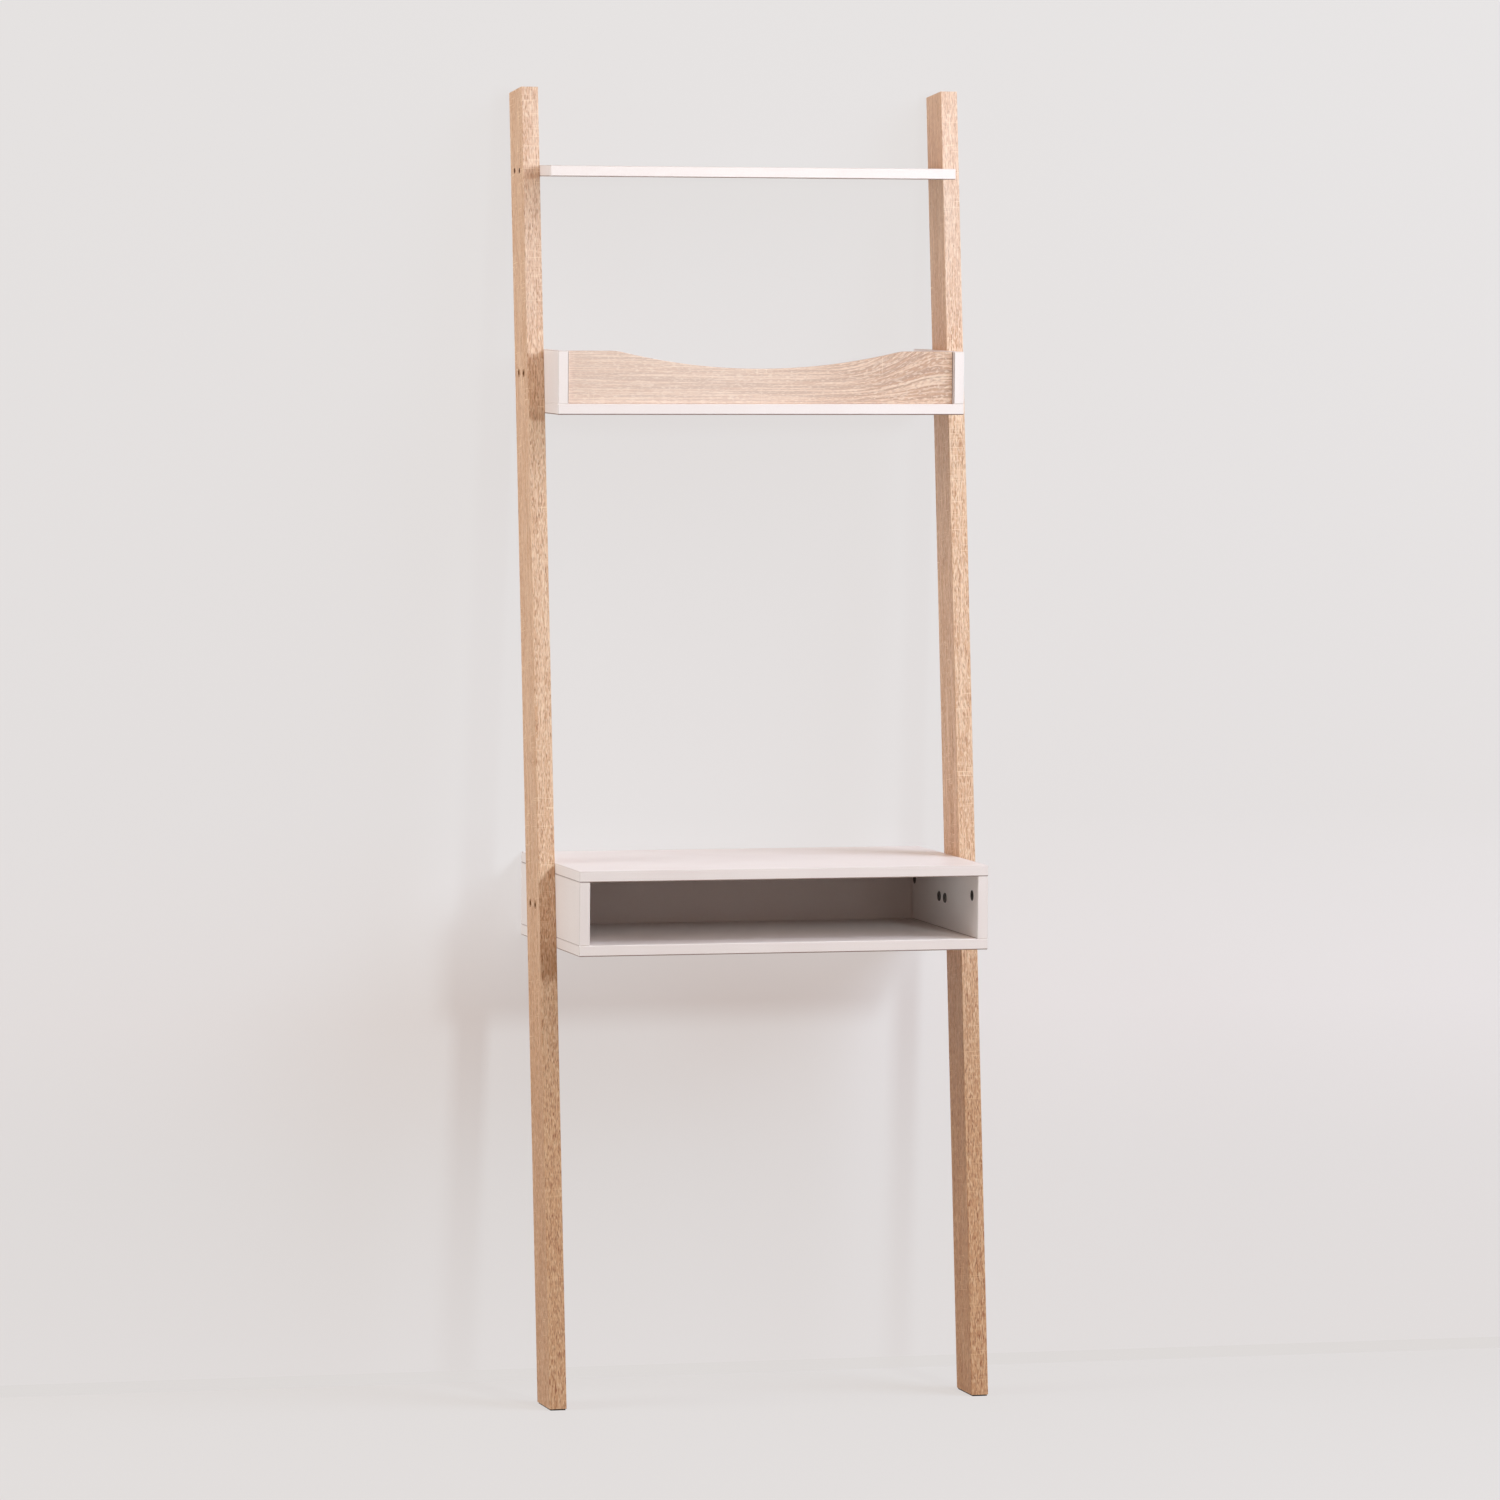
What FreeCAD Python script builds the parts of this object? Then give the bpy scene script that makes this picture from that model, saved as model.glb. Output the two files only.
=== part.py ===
import FreeCAD, Part
import os
import Sketcher

# Ladder desk that leans on a wall: two rails, a shelf, a tray and an open desk box.
# Frame: X to the right, Y towards the wall, Z up, in millimetres and degrees. The origin is on the
# floor, midway between the rails and midway between the desk's front edge and the wall.

DIMENSIONS = (
    ("overall_width", 632, "over the outer faces of both rails"),
    ("lean_angle", 6.6, "of the rails, back from upright"),
    ("rail_length", 1832, "along the front face, foot to top"),
    ("rail_thickness", 24, ""),
    ("rail_depth", 72, "square to the front face"),
    ("rail_edge_radius", 1, "on the four long edges"),
    ("pad_thickness", 2, "of the non-slip pad under each foot"),
    ("pad_margin", 1.5, "from the edge of the foot to the pad"),
    ("board_thickness", 15, "of all white boards and the tray front"),
    ("edge_chamfer", 0.8, "on the edges of the boards"),
    ("desk_top_height", 750, "of the writing surface"),
    ("desk_box_height", 117, "over desk top and desk bottom"),
    ("desk_depth", 336, "from the front edge to the wall"),
    ("desk_back_recess", 5, "from the rear edge to the desk back"),
    ("tray_height", 1370, "of the underside of the tray"),
    ("tray_depth", 198, "from the front edge to the wall"),
    ("tray_side_height", 73, "above the tray bottom"),
    ("tray_front_setback", 6, "behind the front edges of the sides"),
    ("dip_shoulder", 71, "from each end of the tray front to its arc"),
    ("dip_depth", 24.5, "of the arc in the tray front"),
    ("dip_blend_radius", 60, "where the arc meets the straight edge"),
    ("shelf_drop", 124, "from the top of the rails to the underside of the top shelf"),
    ("shelf_depth", 148, "from the front edge to the wall"),
    ("slack", 0.15, "all round a fastener in its hole"),
    ("bolt_spacing", 28, "between the two fasteners of a rail joint"),
    ("tray_bolt_drop", 33, "from the top of the tray sides"),
    ("bolt_radius", 3, ""),
    ("bolt_end_recess", 4, "from the rail's outer face to the bolt's end"),
    ("bolt_head_radius", 7, ""),
    ("bolt_head_thickness", 1.5, ""),
    ("insert_radius", 6, ""),
    ("insert_length", 15, "from the rail's outer face"),
    ("screw_radius", 2.5, ""),
    ("screw_head_radius", 4, ""),
    ("screw_head_height", 3.5, ""),
    ("screw_head_recess", 0.5, "below the surface"),
    ("rail_screw_grip", 26.5, "in the shelf, which makes a screw 50 long"),
    ("board_screw_grip", 30.5, "in the far board, which makes a screw 45 long"),
    ("screw_tip_length", 3, ""),
    ("screw_inset", 50, "from the ends of a side to its screws"),
    ("cross_screw_inset", 97, "from the ends of a cross board to its outer screws"),
    ("socket_radius", 2.3, "over the corners of the hexagon"),
    ("socket_depth", 1, ""),
    ("cam_radius", 7.5, ""),
    ("cam_length", 12.5, ""),
    ("cam_distance", 29, "below the desk top"),
    ("cam_inset", 28, "from the front edge"),
    ("cam_back_gap", 8.5, "from the desk back to the rear cam's axis"),
    ("cam_slot_length", 9, "of the cross slot for the driver"),
    ("cam_slot_width", 1.6, ""),
    ("cam_slot_depth", 1.5, ""),
    ("pin_thread_radius", 2.5, ""),
    ("pin_thread_length", 11, "in the desk top"),
    ("pin_shaft_radius", 3, ""),
    ("pin_neck_radius", 1.8, ""),
    ("pin_neck_length", 4, ""),
    ("pin_head_length", 3.5, ""),
    ("dowel_radius", 4, ""),
    ("dowel_face_depth", 10, "of its hole in the face of a board"),
    ("dowel_edge_depth", 20, "of its hole in the edge of a board"),
    ("dowel_end_gap", 0.3, "at each end"),
    ("dowel_chamfer", 1, ""),
    ("dowel_spacing", 32, "from a cam to the dowel beside it"),
    ("back_dowel_spacing", 44, "between the dowels of the desk back"),
    ("front_dowel_drop", 20, "from the top of the tray sides"),
    ("bracket_inset", 92, "from a rail's inner face to the middle of a wall bracket"),
    ("bracket_width", 20, ""),
    ("bracket_leg", 25, "along the tray bottom"),
    ("bracket_height", 30, "up the wall"),
    ("bracket_sheet", 2, ""),
    ("bracket_bend_radius", 1.5, "inside the bend"),
    ("wall_hole_radius", 2.5, ""),
    ("wall_hole_height", 20, "above the tray bottom"),
    ("bracket_screw_inset", 15, "in front of the wall"),
    ("bracket_screw_radius", 1.75, ""),
    ("bracket_screw_head_radius", 3.5, ""),
    ("bracket_screw_head_height", 2, ""),
    ("bracket_screw_grip", 11, "in the tray bottom"),
    ("bracket_screw_tip_length", 2, ""),
)

PLACES = (
    ("inner_width", "dims.overall_width - 2 * dims.rail_thickness"),
    ("inner_x", "inner_width / 2"),
    ("cross_half_length", "inner_x - dims.board_thickness"),
    ("outer_x", "dims.overall_width / 2"),
    ("wall_y", "dims.desk_depth / 2"),
    ("foot_y", "wall_y - dims.rail_length * sin(dims.lean_angle) - dims.rail_depth * cos(dims.lean_angle)"),
    ("foot_depth", "dims.rail_depth / cos(dims.lean_angle)"),
    ("desk_front_y", "wall_y - dims.desk_depth"),
    ("desk_underside", "dims.desk_top_height - dims.desk_box_height"),
    ("desk_floor", "desk_underside + dims.board_thickness"),
    ("desk_joint", "dims.desk_top_height - dims.board_thickness"),
    ("desk_middle", "dims.desk_top_height - dims.desk_box_height / 2"),
    ("desk_back_y", "wall_y - dims.desk_back_recess - dims.board_thickness"),
    ("cam_z", "desk_joint - dims.cam_distance"),
    ("front_cam_y", "desk_front_y + dims.cam_inset"),
    ("rear_cam_y", "desk_back_y - dims.cam_back_gap"),
    ("tray_front_y", "wall_y - dims.tray_depth"),
    ("tray_floor", "dims.tray_height + dims.board_thickness"),
    ("tray_top", "tray_floor + dims.tray_side_height"),
    ("shaped_board_y", "tray_front_y + dims.tray_front_setback"),
    ("dip_half_width", "cross_half_length - dims.dip_shoulder"),
    ("dip_radius", "(dip_half_width ^ 2 + dims.dip_depth ^ 2) / (2 * dims.dip_depth)"),
    ("shelf_front_y", "wall_y - dims.shelf_depth"),
    ("rail_top", "dims.pad_thickness + dims.rail_length * cos(dims.lean_angle)"),
    ("shelf_height", "rail_top - dims.shelf_drop"),
    ("half_board", "dims.board_thickness / 2"),
    ("half_pair", "dims.bolt_spacing / 2"),
    ("desk_bolt_z", "desk_middle"),
    ("tray_bolt_z", "tray_top - dims.tray_bolt_drop"),
    ("shelf_bolt_z", "shelf_height + half_board"),
    ("bolt_length", "dims.board_thickness + dims.rail_thickness - dims.bolt_end_recess"),
    ("dowel_length", "dims.dowel_face_depth + dims.dowel_edge_depth - 2 * dims.dowel_end_gap"),
)

RAIL_JOINTS = ("desk", "tray", "shelf")
SIDES = (("left", -1), ("right", 1))
CROSS_END = "places.cross_half_length"
HEXAGON_SIDES = 6
TOLERANCE = 0.001

doc = FreeCAD.newDocument("ladder_desk")
corners = {}


def fill_sheets():
    """The driving dimensions as plain numbers, and the places that follow from them."""
    dims = doc.addObject("Spreadsheet::Sheet", "dims")
    for row, (alias, value, note) in enumerate(DIMENSIONS, 1):
        dims.set(f"A{row}", f"{alias} {note}".strip())
        dims.set(f"B{row}", str(value))
        dims.setAlias(f"B{row}", alias)
    places = doc.addObject("Spreadsheet::Sheet", "places")
    rows = list(PLACES)
    for joint in RAIL_JOINTS:
        run, rise = f"{joint}_bolt_run", f"{joint}_bolt_z - dims.pad_thickness"
        half = "dims.rail_depth / 2"
        rows.append((run, f"({rise} + {half} * sin(dims.lean_angle)) / cos(dims.lean_angle)"))
        rows.append((f"{joint}_bolt_y",
                     f"foot_y + {half} * cos(dims.lean_angle) + {run} * sin(dims.lean_angle)"))
    doc.recompute()
    for row, (alias, formula) in enumerate(rows, 1):
        places.set(f"A{row}", alias)
        places.set(f"B{row}", f"={formula}")
        places.setAlias(f"B{row}", alias)
        doc.recompute()


def number(expression):
    return float(doc.dims.evalExpression(expression))


def new_body(name, corner):
    """A body whose corner, its sketches' origin, is bound to three expressions."""
    body = doc.addObject("PartDesign::Body", name)
    body.Label = name
    corners[name] = corner
    for axis, expression in zip("xyz", corner):
        body.setExpression(f"Placement.Base.{axis}", expression)
    return body


def new_sketch(body, name, axis, offset="0"):
    """A sketch square to an axis of its body, `offset` along that axis from the body's origin."""
    role = {"x": "YZ_Plane", "y": "XZ_Plane", "z": "XY_Plane"}[axis]
    sketch = body.newObject("Sketcher::SketchObject", name)
    plane = next(item for item in body.Origin.OriginFeatures if item.Role == role)
    sketch.AttachmentSupport = [(plane, "")]
    sketch.MapMode = "FlatFace"
    if offset != "0":
        turned = f"-({offset})" if axis == "y" else offset
        sketch.setExpression("AttachmentOffset.Base.z", turned)
    return sketch


def place_point(sketch, geometry, point, across, up):
    """Ties a point of the sketch to two expressions, measured from the sketch's origin."""
    for kind, expression, axis in (("DistanceX", across, -2), ("DistanceY", up, -1)):
        if expression == "0":
            sketch.addConstraint(Sketcher.Constraint("PointOnObject", geometry, point, axis))
            continue
        constraint = Sketcher.Constraint(kind, -1, 1, geometry, point, number(expression))
        index = sketch.addConstraint(constraint)
        sketch.setExpression(f"Constraints[{index}]", expression)


def add_polygon(sketch, corners_of_it):
    """A closed outline whose corners are pairs of expressions."""
    points = [FreeCAD.Vector(number(across), number(up), 0) for across, up in corners_of_it]
    first = sketch.GeometryCount
    count = len(points)
    for index in range(count):
        sketch.addGeometry(Part.LineSegment(points[index], points[(index + 1) % count]), False)
    for index, (across, up) in enumerate(corners_of_it):
        following = first + (index + 1) % count
        sketch.addConstraint(Sketcher.Constraint("Coincident", first + index, 2, following, 1))
        place_point(sketch, first + index, 1, across, up)


def pad(body, outline, axis, length):
    """Outline, a list of corners, made solid along the positive direction of the axis."""
    sketch = new_sketch(body, f"{body.Name}_outline", axis)
    add_polygon(sketch, outline)
    feature = body.newObject("PartDesign::Pad", f"{body.Name}_pad")
    feature.Profile = sketch
    feature.Reversed = axis == "y"
    feature.setExpression("Length", length)
    doc.recompute()
    return feature


def cut(body, sketch, name, axis, towards, depth):
    """Cuts the sketch's outline into the body, towards +1 or -1 along the axis."""
    pocket = body.newObject("PartDesign::Pocket", name)
    pocket.Profile = sketch
    normal = -1 if axis == "y" else 1
    pocket.Reversed = towards == normal
    pocket.setExpression("Length", depth)
    doc.recompute()
    return pocket


def bore(body, name, axis, centres, radius, start, towards, depth):
    """Round holes along an axis. Centres and start are in the frame that the body's corner is in."""
    corner = dict(zip("xyz", corners[body.Name]))
    sketch = new_sketch(body, f"{body.Name}_{name}_sketch", axis, f"({start}) - ({corner[axis]})")
    flat = [letter for letter in "xyz" if letter != axis]
    for index, centre in enumerate(centres):
        place = [f"({centre[letter]}) - ({corner[letter]})" for letter in flat]
        middle = FreeCAD.Vector(number(place[0]), number(place[1]), 0)
        circle = Part.Circle(middle, FreeCAD.Vector(0, 0, 1), number(radius))
        sketch.addGeometry(circle, False)
        place_point(sketch, index, 3, place[0], place[1])
        size = sketch.addConstraint(Sketcher.Constraint("Radius", index, number(radius)))
        sketch.setExpression(f"Constraints[{size}]", radius)
    return cut(body, sketch, f"{body.Name}_{name}", axis, towards, depth)


def ease(body, kind, name, size, chosen=None):
    """Chamfer or Fillet on the chosen edges of what the body is so far, or on all of them."""
    base = body.Tip
    picked = [f"Edge{number_of}" for number_of, edge in enumerate(base.Shape.Edges, 1)
              if chosen is None or chosen(edge)]
    feature = body.newObject(f"PartDesign::{kind}", f"{body.Name}_{name}")
    feature.Base = (base, picked)
    feature.setExpression("Radius" if kind == "Fillet" else "Size", size)
    doc.recompute()
    return feature


def runs_along(edge, axis):
    """True for an edge within 45 degrees of the axis of its body."""
    tangent = edge.tangentAt(edge.FirstParameter)
    return all(abs(getattr(tangent, axis)) >= abs(part) for part in tangent)


def passes(edge, axis, **place):
    """True for an edge along the axis whose middle has the coordinates given."""
    middle = edge.CenterOfMass
    near = all(abs(getattr(middle, letter) - value) < TOLERANCE for letter, value in place.items())
    return near and runs_along(edge, axis)


def rectangle(across, up):
    return [("0", "0"), (across, "0"), (across, up), ("0", up)]


def board(name, corner, size, eased=True):
    """A board with its low corner and its size along X, Y and Z."""
    body = new_body(name, corner)
    pad(body, rectangle(size[0], size[1]), "z", size[2])
    if eased:
        ease(body, "Chamfer", "edges", "dims.edge_chamfer")
    return body


def at(x="0", y="0", z="0"):
    return {"x": x, "y": y, "z": z}


def turned_profile(name, outline):
    """A fastener turned about its own Z axis, drawn as radius and height pairs."""
    body = new_body(name, ("0", "0", "0"))
    sketch = new_sketch(body, f"{name}_outline", "y")
    add_polygon(sketch, outline)
    turned = body.newObject("PartDesign::Revolution", f"{name}_turned")
    turned.Profile = sketch
    turned.ReferenceAxis = (sketch, ["V_Axis"])
    turned.Angle = 360
    doc.recompute()
    return body


def hexagon():
    """Corners of the key socket."""
    turns = [step * 360 / HEXAGON_SIDES for step in range(HEXAGON_SIDES)]
    return [(f"dims.socket_radius * cos({turn})", "0" if turn % 180 == 0 else
             f"dims.socket_radius * sin({turn})") for turn in turns]


def key_socket(body, start):
    sketch = new_sketch(body, f"{body.Name}_socket_sketch", "z", start)
    add_polygon(sketch, hexagon())
    cut(body, sketch, f"{body.Name}_socket", "z", 1, "dims.socket_depth")


# --- where the fasteners are -------------------------------------------------------------------

def pair(joint):
    """The two fasteners of a rail joint: level, and spread about the middle of the rail."""
    return [at(y=f"places.{joint}_bolt_y + {sign} * places.half_pair", z=f"places.{joint}_bolt_z")
            for sign in (-1, 1)]


def side_middle_x(side):
    """The middle of a side board's thickness."""
    return f"{side} * (places.inner_x - places.half_board)"


def cam_places(side):
    return [at(side_middle_x(side), y, "places.cam_z")
            for y in ("places.front_cam_y", "places.rear_cam_y")]


def top_dowel_places(side):
    return [at(side_middle_x(side), y, "places.desk_joint")
            for y in ("places.front_cam_y + dims.dowel_spacing", "places.rear_cam_y - dims.dowel_spacing")]


def side_screw_places(side, front_y):
    return [at(side_middle_x(side), y)
            for y in (f"{front_y} + dims.screw_inset", "places.wall_y - dims.screw_inset")]


def cross_screw_places(face_y):
    reach = "(places.cross_half_length - dims.cross_screw_inset)"
    return [at(f"{step} * {reach}", f"{face_y} + places.half_board") for step in (-1, 0, 1)]


def back_dowel_places():
    return [at(y="places.desk_back_y + places.half_board",
               z=f"places.desk_middle + {sign} * dims.back_dowel_spacing / 2") for sign in (-1, 1)]


def front_dowel_places():
    return [at(y="places.shaped_board_y + places.half_board", z="places.tray_top - dims.front_dowel_drop")]


def bracket_x(side):
    return f"{side} * (places.inner_x - dims.bracket_inset)"


def bracket_screw_places():
    return [at(bracket_x(side), "places.wall_y - dims.bracket_screw_inset") for word, side in SIDES]


# --- boards and rails --------------------------------------------------------------------------

def rail(name, side):
    """Leaning rail. Its own frame has Y across its depth and Z along its length."""
    outer = "places.outer_x"
    low_x = f"-{outer}" if side < 0 else f"{outer} - dims.rail_thickness"
    body = new_body(name, (low_x, "places.foot_y", "dims.pad_thickness"))
    body.Placement.Rotation = FreeCAD.Rotation(FreeCAD.Vector(1, 0, 0), -number("dims.lean_angle"))
    body.setExpression("Placement.Rotation.Angle", "-dims.lean_angle")
    foot_rise = "dims.rail_depth * tan(dims.lean_angle)"
    profile = [("0", "0"), ("dims.rail_depth", foot_rise),
               ("dims.rail_depth", "dims.rail_length"), ("0", "dims.rail_length")]
    pad(body, profile, "x", "dims.rail_thickness")
    ease(body, "Fillet", "edges", "dims.rail_edge_radius", lambda edge: runs_along(edge, "z"))

    corners[name] = ("0", "0", "0")
    start = "0" if side < 0 else "dims.rail_thickness"
    for joint in RAIL_JOINTS:
        centres = []
        for sign in (-1, 1):
            across = f"dims.rail_depth / 2 + {sign} * places.half_pair * cos(dims.lean_angle)"
            along = f"places.{joint}_bolt_run + {sign} * places.half_pair * sin(dims.lean_angle)"
            centres.append(at(y=across, z=along))
        if joint == "shelf":
            shank, seat = "dims.screw_radius", "dims.screw_head_radius"
            seat_depth = "dims.screw_head_recess + dims.screw_head_height"
        else:
            shank, seat, seat_depth = "dims.bolt_radius", "dims.insert_radius", "dims.insert_length"
        bore(body, f"{joint}_holes", "x", centres, f"{shank} + dims.slack", start, -side,
             "dims.rail_thickness")
        bore(body, f"{joint}_seats", "x", centres, f"{seat} + dims.slack", start, -side, seat_depth)


def make_rails():
    for word, side in SIDES:
        rail(f"{word}_rail", side)
        low_x = "-places.outer_x" if side < 0 else "places.outer_x - dims.rail_thickness"
        foot_pad = doc.addObject("Part::Box", f"{word}_foot_pad")
        foot_pad.Label = f"{word}_foot_pad"
        foot_pad.setExpression("Length", "dims.rail_thickness - 2 * dims.pad_margin")
        foot_pad.setExpression("Width", "places.foot_depth - 2 * dims.pad_margin")
        foot_pad.setExpression("Height", "dims.pad_thickness")
        foot_pad.setExpression("Placement.Base.x", f"{low_x} + dims.pad_margin")
        foot_pad.setExpression("Placement.Base.y", "places.foot_y + dims.pad_margin")


def make_shelf():
    body = board("top_shelf", ("-places.inner_x", "places.shelf_front_y", "places.shelf_height"),
                 ("places.inner_width", "dims.shelf_depth", "dims.board_thickness"))
    for word, side in SIDES:
        bore(body, f"{word}_pilots", "x", pair("shelf"), "dims.screw_radius + dims.slack",
             f"{side} * places.inner_x", -side, "dims.rail_screw_grip + dims.slack")


def screw_holes_from_below(body, name, centres, underside):
    """Clearance holes with a seat for each head, up through a bottom board."""
    bore(body, f"{name}_holes", "z", centres, "dims.screw_radius + dims.slack", underside, 1,
         "dims.board_thickness")
    bore(body, f"{name}_seats", "z", centres, "dims.screw_head_radius + dims.slack", underside, 1,
         "dims.screw_head_recess + dims.screw_head_height")


def pilots_from_below(body, centres, start):
    bore(body, "pilots", "z", centres, "dims.screw_radius + dims.slack", start, 1,
         "dims.board_screw_grip + dims.slack")


def make_tray():
    bottom = board("tray_bottom", ("-places.inner_x", "places.tray_front_y", "dims.tray_height"),
                   ("places.inner_width", "dims.tray_depth", "dims.board_thickness"))
    side_screws = [place for word, side in SIDES
                   for place in side_screw_places(side, "places.tray_front_y")]
    screw_holes_from_below(bottom, "side", side_screws, "dims.tray_height")
    front_screws = cross_screw_places("places.shaped_board_y")
    screw_holes_from_below(bottom, "front", front_screws, "dims.tray_height")
    bore(bottom, "bracket_pilots", "z", bracket_screw_places(), "dims.bracket_screw_radius + dims.slack",
         "places.tray_floor", -1, "dims.bracket_screw_grip + dims.slack")

    for word, side in SIDES:
        low_x = "-places.inner_x" if side < 0 else "places.inner_x - dims.board_thickness"
        body = board(f"tray_{word}_side", (low_x, "places.tray_front_y", "places.tray_floor"),
                     ("dims.board_thickness", "dims.tray_depth", "dims.tray_side_height"))
        bore(body, "bolt_holes", "x", pair("tray"), "dims.bolt_radius + dims.slack",
             f"{side} * places.inner_x", -side, "dims.board_thickness")
        pilots_from_below(body, side_screw_places(side, "places.tray_front_y"), "places.tray_floor")
        bore(body, "dowel_hole", "x", front_dowel_places(), "dims.dowel_radius + dims.slack",
             f"{side} * {CROSS_END}", side, "dims.dowel_face_depth")
    make_tray_front()


def make_tray_front():
    """Shaped board between the tray sides: an arc is cut out of its top edge, and its ends blended."""
    body = board("tray_front", (f"-{CROSS_END}", "places.shaped_board_y", "places.tray_floor"),
                 (f"2 * {CROSS_END}", "dims.board_thickness", "dims.tray_side_height"), eased=False)
    arc_middle = [at(z="places.tray_top + places.dip_radius - dims.dip_depth")]
    bore(body, "dip", "y", arc_middle, "places.dip_radius", "places.shaped_board_y", 1,
         "dims.board_thickness")
    top = number("dims.tray_side_height")
    arc_ends = [number(f"{CROSS_END} + {sign} * places.dip_half_width") for sign in (-1, 1)]
    ease(body, "Fillet", "blend", "dims.dip_blend_radius",
         lambda edge: any(passes(edge, "y", x=end, z=top) for end in arc_ends))
    ease(body, "Chamfer", "edges", "dims.edge_chamfer")
    pilots_from_below(body, cross_screw_places("places.shaped_board_y"), "places.tray_floor")
    for word, side in SIDES:
        bore(body, f"{word}_dowel_hole", "x", front_dowel_places(), "dims.dowel_radius + dims.slack",
             f"{side} * {CROSS_END}", -side, "dims.dowel_edge_depth")


def make_desk():
    full = ("places.inner_width", "dims.desk_depth", "dims.board_thickness")
    top = board("desk_top", ("-places.inner_x", "places.desk_front_y", "places.desk_joint"), full)
    pins = [place for word, side in SIDES for place in cam_places(side)]
    bore(top, "pin_holes", "z", pins, "dims.pin_thread_radius + dims.slack", "places.desk_joint", 1,
         "dims.pin_thread_length + dims.slack")
    dowels = [place for word, side in SIDES for place in top_dowel_places(side)]
    bore(top, "dowel_holes", "z", dowels, "dims.dowel_radius + dims.slack", "places.desk_joint", 1,
         "dims.dowel_face_depth")

    bottom = board("desk_bottom", ("-places.inner_x", "places.desk_front_y", "places.desk_underside"), full)
    side_screws = [place for word, side in SIDES
                   for place in side_screw_places(side, "places.desk_front_y")]
    screw_holes_from_below(bottom, "side", side_screws, "places.desk_underside")
    screw_holes_from_below(bottom, "back", cross_screw_places("places.desk_back_y"), "places.desk_underside")
    for word, side in SIDES:
        desk_side(word, side)

    back = board("desk_back", (f"-{CROSS_END}", "places.desk_back_y", "places.desk_floor"),
                 (f"2 * {CROSS_END}", "dims.board_thickness", "places.desk_joint - places.desk_floor"))
    pilots_from_below(back, cross_screw_places("places.desk_back_y"), "places.desk_floor")
    for word, side in SIDES:
        bore(back, f"{word}_dowel_holes", "x", back_dowel_places(), "dims.dowel_radius + dims.slack",
             f"{side} * {CROSS_END}", -side, "dims.dowel_edge_depth")


def desk_side(word, side):
    """Upright side of the desk box, drilled for bolts, cams, pins, dowels and screws."""
    low_x = "-places.inner_x" if side < 0 else "places.inner_x - dims.board_thickness"
    inner_face = f"{side} * {CROSS_END}"
    body = board(f"desk_{word}_side", (low_x, "places.desk_front_y", "places.desk_floor"),
                 ("dims.board_thickness", "dims.desk_depth", "places.desk_joint - places.desk_floor"))
    bore(body, "bolt_holes", "x", pair("desk"), "dims.bolt_radius + dims.slack",
         f"{side} * places.inner_x", -side, "dims.board_thickness")
    bore(body, "cam_seats", "x", cam_places(side), "dims.cam_radius + dims.slack", inner_face, side,
         "dims.cam_length")
    bore(body, "pin_holes", "z", cam_places(side), "dims.dowel_radius + dims.slack", "places.desk_joint",
         -1, "dims.cam_distance")
    bore(body, "top_dowel_holes", "z", top_dowel_places(side), "dims.dowel_radius + dims.slack",
         "places.desk_joint", -1, "dims.dowel_edge_depth")
    bore(body, "back_dowel_holes", "x", back_dowel_places(), "dims.dowel_radius + dims.slack", inner_face,
         side, "dims.dowel_face_depth")
    pilots_from_below(body, side_screw_places(side, "places.desk_front_y"), "places.desk_floor")


def make_brackets():
    """L of sheet steel: one leg lies on the tray bottom, the other stands against the wall."""
    sheet = "dims.bracket_sheet"
    inner = f"dims.bracket_leg - {sheet}"
    profile = [("0", "0"), ("dims.bracket_leg", "0"), ("dims.bracket_leg", "dims.bracket_height"),
               (inner, "dims.bracket_height"), (inner, sheet), ("0", sheet)]
    for word, side in SIDES:
        x = bracket_x(side)
        body = new_body(f"{word}_wall_bracket", (f"{x} - dims.bracket_width / 2",
                                                 "places.wall_y - dims.bracket_leg", "places.tray_floor"))
        pad(body, profile, "x", "dims.bracket_width")
        leg = number("dims.bracket_leg")
        thickness = number(sheet)
        ease(body, "Fillet", "inner_bend", "dims.bracket_bend_radius",
             lambda edge: passes(edge, "x", y=leg - thickness, z=thickness))
        ease(body, "Fillet", "outer_bend", f"dims.bracket_bend_radius + {sheet}",
             lambda edge: passes(edge, "x", y=leg, z=0))
        bore(body, "wall_hole", "y", [at(x, z="places.tray_floor + dims.wall_hole_height")],
             "dims.wall_hole_radius", "places.wall_y", -1, sheet)
        bore(body, "screw_hole", "z", [at(x, "places.wall_y - dims.bracket_screw_inset")],
             "dims.bracket_screw_radius + dims.slack", "places.tray_floor", 1, sheet)


# --- fasteners ---------------------------------------------------------------------------------

def screw(name, head_radius, head_height, radius, length, tip):
    """Cylinder-head screw: its head starts at Z 0 and its point is at Z = length."""
    body = turned_profile(name, [
        ("0", "0"), (head_radius, "0"), (head_radius, head_height), (radius, head_height),
        (radius, f"{length} - {tip}"), ("0", length)])
    key_socket(body, "0")
    return body


def group(label, pattern, spots):
    """Copies of one fastener, each turned so that its Z axis points the way given."""
    turns = {"+x": (0, 1, 0, 90), "-x": (0, 1, 0, -90), "+z": (1, 0, 0, 0), "-z": (1, 0, 0, 180)}
    copies = []
    for index, (place, direction) in enumerate(spots, 1):
        copy = doc.addObject("App::Link", f"{label}_{index}")
        copy.LinkedObject = pattern
        x, y, z, angle = turns[direction]
        copy.Placement.Rotation = FreeCAD.Rotation(FreeCAD.Vector(x, y, z), angle)
        for axis in "xyz":
            copy.setExpression(f"Placement.Base.{axis}", place[axis])
        copies.append(copy)
    together = doc.addObject("Part::Compound", label)
    together.Label = label
    together.Links = copies


def inward(side):
    return "+x" if side < 0 else "-x"


def outward(side):
    return "-x" if side < 0 else "+x"


def moved(place, **changes):
    return {**place, **changes}


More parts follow.
